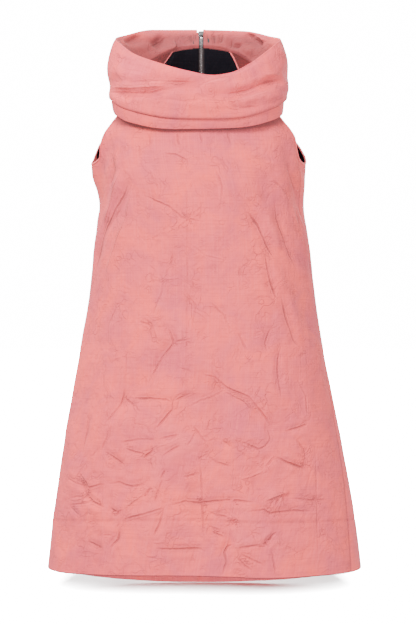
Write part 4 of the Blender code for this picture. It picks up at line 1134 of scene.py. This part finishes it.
def roseCloth(name, settings, inner=False):
    # painted light: the cloth gives off a faint even light in its glow colour, so its shaded folds stay a dusty pink
    made, tree, shader = startMaterial(name, **{
        "Sheen Weight": settings["sheen"], "Sheen Roughness": 0.45, "Sheen Tint": settings["sheenTint"],
        "Specular IOR Level": 0.12, "Emission Color": settings["glow"], "Emission Strength": 1.0})
    place, weave = objectPlace(tree), weavePlace(tree)
    folds, shade = attributeOf(tree, "folds"), attributeOf(tree, "shade")
    beside, sharp = attributeOf(tree, "beside"), attributeOf(tree, "sharp")
    blotch = noiseAt(tree, place, 15.0, 4.0, 0.62, 0.5)
    patch = noiseAt(tree, place, 4.5, 2.0, 0.5)
    down = noiseAt(tree, stretched(tree, weave, (520.0, 14.0, 1.0)), 1.0, 2.0, 0.7)      # warp threads
    over = noiseAt(tree, stretched(tree, weave, (14.0, 520.0, 1.0)), 1.0, 2.0, 0.7)      # weft threads
    packed = noiseAt(tree, stretched(tree, weave, (130.0, 7.0, 1.0)), 1.0, 3.0, 0.6, 0.4)  # upright packing creases
    # the creases' sharp lines
    wander = noiseAt(tree, weave, 90.0, 2.0, 0.5)
    fromLine = beside + (wander - 0.5) * 2.2
    line = bell(fromLine, settings["lineWidth"]) * sharp
    lip = (bell(fromLine - settings["lipAt"], 1.2) + bell(fromLine + settings["lipAt"], 1.2)) * sharp
    # small crinkles between them, broken off at random
    pushed = addNode(tree, "ShaderNodeTexNoise", {}, {"Vector": weave, "Scale": 26.0}, 1)
    bent = addNode(tree, "ShaderNodeMix", {"data_type": "VECTOR"}, {0: 0.12, 4: weave, 5: pushed}, 1)
    cracks = []
    for scale, turn, low in ((30.0, 0.5, 0.46), (55.0, 1.9, 0.48)):
        cell = addNode(tree, "ShaderNodeTexVoronoi", {"feature": "DISTANCE_TO_EDGE"},
                       {"Vector": stretched(tree, bent, (1.0, 1.35, 1.0), turn), "Scale": scale})
        broken = rampOf(tree, noiseAt(tree, stretched(tree, weave, (1.0, 1.0, 1.0), turn), scale * 0.8, 2.0), low, 0.68)
        cracks.append(bell(cell, scale * 0.0014) * broken)
    crack = cracks[0] + cracks[1] * 0.7
    facets = addNode(tree, "ShaderNodeTexVoronoi", {"feature": "F1"}, {"Vector": bent, "Scale": 46.0})
    fine = noiseAt(tree, place, 150.0, 3.0, 0.6, 0.5)
    tint = mixColours(tree, rampOf(tree, blotch, 0.36, 0.64), settings["cool"], settings["warm"])
    # the threads and random patches vary the tone; the folds bring painted shade into troughs, crease lines and
    # crinkles, and a painted highlight onto ridges and crease lips
    for value, low, high, share, tone in (
            (patch, 0.3, 0.7, 0.4, "base"), (down, 0.44, 0.70, 0.42, "paleThreadAndHighlight"), (over, 0.46, 0.74, 0.34, "deep"),
            (folds, -0.8, -5.0, 0.45, "deep"), (folds, 1.2, 4.0, 0.3, "paleThreadAndHighlight"), (lip, 0.0, 2.4, 0.35, "paleThreadAndHighlight"),
            (line, 0.0, 2.4, 0.6, "deep"), (line, 0.0, -2.4, 0.5, "paleThreadAndHighlight"), (crack, 0.0, 1.0, 0.34, "deep")):
        tint = mixColours(tree, rampOf(tree, value, low, high) * share, tint, settings[tone])
    # inner faces take the duller inner tone as painted shade; other faces mix in the painted shade tone by their shade
    # attribute
    tint = mixColours(tree, *((0.85, tint, settings["inner"]) if inner else (shade, tint, settings["shaded"])))
    relief = lip * settings["lip"] - line * settings["lineDeep"] - crack * 0.8
    relief = relief + facets * 1.1 + fine * 0.5 + packed * 0.4
    threads = bumpOf(tree, down + over, 0.35, 0.0004, Normal=bumpOf(tree, relief, 1.0, 0.001))
    feed(shader, Base_Color=tint, Normal=threads, Roughness=settings["roughness"] + 0.1 * (blotch - 0.5))
    return made


dark = {"base": colour(0.0050, 0.0048, 0.0076), "thread": colour(0.0095, 0.0090, 0.0135), "roughness": 0.7}


def darkCloth(name, settings):
    made, tree, shader = startMaterial(name, **{"Roughness": settings["roughness"], "Sheen Weight": 0.005,
                                                "Specular IOR Level": 0.06})
    weave, place = weavePlace(tree), objectPlace(tree)
    down = noiseAt(tree, stretched(tree, weave, (700.0, 12.0, 1.0)), 1.0, 2.0)
    over = noiseAt(tree, stretched(tree, weave, (12.0, 700.0, 1.0)), 1.0, 2.0)
    soft = noiseAt(tree, place, 26.0, 3.0, 0.6, 0.8)
    tint = mixColours(tree, rampOf(tree, down * 0.5 + over * 0.5, 0.4, 0.66), settings["base"], settings["thread"])
    threads = bumpOf(tree, down + over, 0.3, 0.0004, Normal=bumpOf(tree, soft, 0.5, 0.004))
    feed(shader, Base_Color=tint, Normal=threads)
    return made


tapeTwill = {"base": colour(0.012, 0.009, 0.010), "thread": colour(0.030, 0.022, 0.024), "roughness": 0.8}


def twillTape(name, settings):
    made, tree, shader = startMaterial(name, Roughness=settings["roughness"])
    rib = addNode(tree, "ShaderNodeTexWave", {"wave_type": "BANDS", "bands_direction": "DIAGONAL"},
                  {"Vector": weavePlace(tree), "Scale": 260.0, "Distortion": 0.6}, 1)
    tint = mixColours(tree, rib, settings["base"], settings["thread"])
    feed(shader, Base_Color=tint, Normal=bumpOf(tree, rib, 0.4, 0.0003))
    return made


nickel = {"base": colour(0.20, 0.20, 0.197), "dull": colour(0.08, 0.08, 0.08), "roughness": 0.42}
nickelTeeth = {"base": colour(0.42, 0.40, 0.40), "dull": colour(0.26, 0.25, 0.25), "roughness": 0.55}


def nickelMetal(name, settings):
    made, tree, shader = startMaterial(name, Metallic=1.0)
    place = objectPlace(tree)
    handled = noiseAt(tree, place, 240.0, 4.0, 0.6)
    scratch = noiseAt(tree, stretched(tree, place, (3000.0, 3000.0, 140.0)), 1.0, 2.0)
    tint = mixColours(tree, rampOf(tree, handled, 0.4, 0.75), settings["base"], settings["dull"])
    rough = settings["roughness"] + 0.22 * (handled - 0.5) + 0.12 * (scratch - 0.5)
    feed(shader, Base_Color=tint, Roughness=rough, Normal=bumpOf(tree, scratch, 0.12, 0.0002))
    return made


cotton = {"base": colour(0.84, 0.10, 0.11), "deep": colour(0.74, 0.07, 0.08), "roughness": 0.6}


def threadCotton(name, settings):
    made, tree, shader = startMaterial(name, Roughness=settings["roughness"])
    ply = noiseAt(tree, objectPlace(tree), 900.0, 2.0)
    tint = mixColours(tree, rampOf(tree, ply, 0.35, 0.65), settings["base"], settings["deep"])
    feed(shader, Base_Color=tint, Normal=bumpOf(tree, ply, 0.4, 0.0002))
    return made


def wear(piece, *materials):
    piece.data.materials.clear()
    for material in materials:
        piece.data.materials.append(material)


roseMaterial = roseCloth("rose_woven", rose)
innerShadeRose = roseCloth("rose_woven_inner_shade", rose, inner=True)
bindingMaterial = roseCloth("rose_binding", {**rose, **roseBinding})
liningMaterial = darkCloth("navy_black_lining", dark)
tapeMaterial = twillTape("black_tape", tapeTwill)
metalMaterial = nickelMetal("nickel", nickel)
teethMaterial = nickelMetal("nickel_teeth", nickelTeeth)
threadMaterial = threadCotton("rose_thread", cotton)

for piece in (front, backLeft, backRight, collarCloth):
    wear(piece, roseMaterial, innerShadeRose)
for piece in (bindingLeft, bindingRight):
    wear(piece, bindingMaterial, bindingMaterial)
for piece in (liningLeft, liningRight):
    wear(piece, liningMaterial)
for piece in (tapeLeft, tapeRight):
    wear(piece, tapeMaterial)
wear(teeth, teethMaterial)
wear(stitches, threadMaterial)
for node in ("zip_slider", "zip_pull_tab", "zip_bottom_stop"):
    for slot in bpy.data.objects[node].material_slots:
        slot.material = metalMaterial
print("materials made")

# what each piece stands for and how it moves

replaced = (
    (front, ("front_panel", "front_hem_facing"), "rose_cloth"),
    (backLeft, ("back_panel_left", "back_hem_facing_left"), "rose_cloth"),
    (backRight, ("back_panel_right", "back_hem_facing_right"), "rose_cloth"),
    (collarCloth, ("collar_stand", "collar_fall"), "rose_cloth"),
    (bindingLeft, ("armhole_binding_left",), "rose_cloth"),
    (bindingRight, ("armhole_binding_right",), "rose_cloth"),
    (liningLeft, ("back_lining_left",), "dark_lining"),
    (liningRight, ("back_lining_right",), "dark_lining"),
    (tapeLeft, ("zip_tape_left",), "zip_tape"),
    (tapeRight, ("zip_tape_right",), "zip_tape"),
    (teeth, ("zip_chain",), "zip_metal"),
)
for piece, nodes, slotName in replaced:
    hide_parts(*nodes)
    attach(piece, "dress")
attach(stitches, "dress")

# floor, light and camera

stageSet = {"floor": -907, "size": 30.0, "paper": colour(0.93, 0.93, 0.93), "backdrop": 16.0, "ambient": 0.95,
            "floorSun": 410.0, "sunFrom": 74, "sunSoft": 14,      # degrees from overhead, and how wide it looks
            "eye": (0.0115, -3.5, -0.44), "lens": 122.4}

deselectAll()
bpy.ops.mesh.primitive_grid_add(x_subdivisions=8, y_subdivisions=8, size=stageSet["size"],
                                location=(0, 8.0, stageSet["floor"] / 1000))
floor = bpy.context.object
floor.name = "floor"
wear(floor, startMaterial("white_paper", Roughness=0.9, Base_Color=stageSet["paper"])[0])
floor.visible_diffuse = floor.visible_glossy = False      # white paper, but it throws no light up at the dress

lights = (  # name, place in metres, aimed at, width, height, watts
    ("key", (-1.7, -2.9, 1.7), (0.0, 0.0, -0.45), 1.2, 1.2, 236),
    ("fill", (2.4, -2.6, 0.1), (0.0, 0.0, -0.45), 2.0, 2.0, 58),
    ("low", (0.9, -3.3, -0.62), (0.0, 0.0, -0.8), 1.2, 0.5, 18),
    ("strip", (0.1, -3.2, -0.80), (0.0, 0.1, -0.89), 1.6, 0.12, 40),
    ("top", (-0.9, 0.5, 2.0), (0.0, 0.0, -0.1), 0.7, 0.7, 75),
    ("behind", (0.9, 3.0, 0.9), (0.0, 0.0, -0.4), 2.4, 2.0, 120),
)
for name, place, aim, width, height, watts in lights:
    deselectAll()
    bpy.ops.object.light_add(type="AREA", location=place)
    lamp = bpy.context.object
    lamp.name = name
    lamp.data.shape, lamp.data.size, lamp.data.size_y, lamp.data.energy = "RECTANGLE", width, height, watts
    lamp.rotation_euler = (Vector(aim) - Vector(place)).to_track_quat("-Z", "Y").to_euler()

# the back's strip that shows below the front hem is lit from low down
stripLit = bpy.data.collections.new("strip_only")
for piece in (backLeft, backRight):
    stripLit.objects.link(piece)
bpy.data.objects["strip"].light_linking.receiver_collection = stripLit

# a lamp of its own keeps the floor white and lays the soft shadow under the hem
deselectAll()
bpy.ops.object.light_add(type="SUN", rotation=(math.radians(stageSet["sunFrom"]), 0, 0))
floorLamp = bpy.context.object
floorLamp.name = "floor_lamp"
floorLamp.data.energy, floorLamp.data.angle = stageSet["floorSun"], math.radians(stageSet["sunSoft"])
litByIt = bpy.data.collections.new("floor_only")
litByIt.objects.link(floor)
floorLamp.light_linking.receiver_collection = litByIt

world = bpy.data.worlds.new("studio")
bpy.context.scene.world = world
world.use_nodes = True
sky = world.node_tree
seen = addNode(sky, "ShaderNodeLightPath", {}, {})
background = sky.nodes["Background"]
background.inputs["Color"].default_value = colour(1.0, 1.0, 1.0)
strength = seen * stageSet["backdrop"] + (1 - seen) * stageSet["ambient"]
sky.links.new(strength.socket, background.inputs["Strength"])

deselectAll()
bpy.ops.object.camera_add(location=stageSet["eye"], rotation=(math.radians(90), 0, 0))
camera = bpy.context.object
camera.data.sensor_width, camera.data.lens = 36.0, stageSet["lens"]     # the frame's long side is 36 mm
camera.data.clip_end = 60.0
bpy.context.scene.camera = camera
print("stage set")
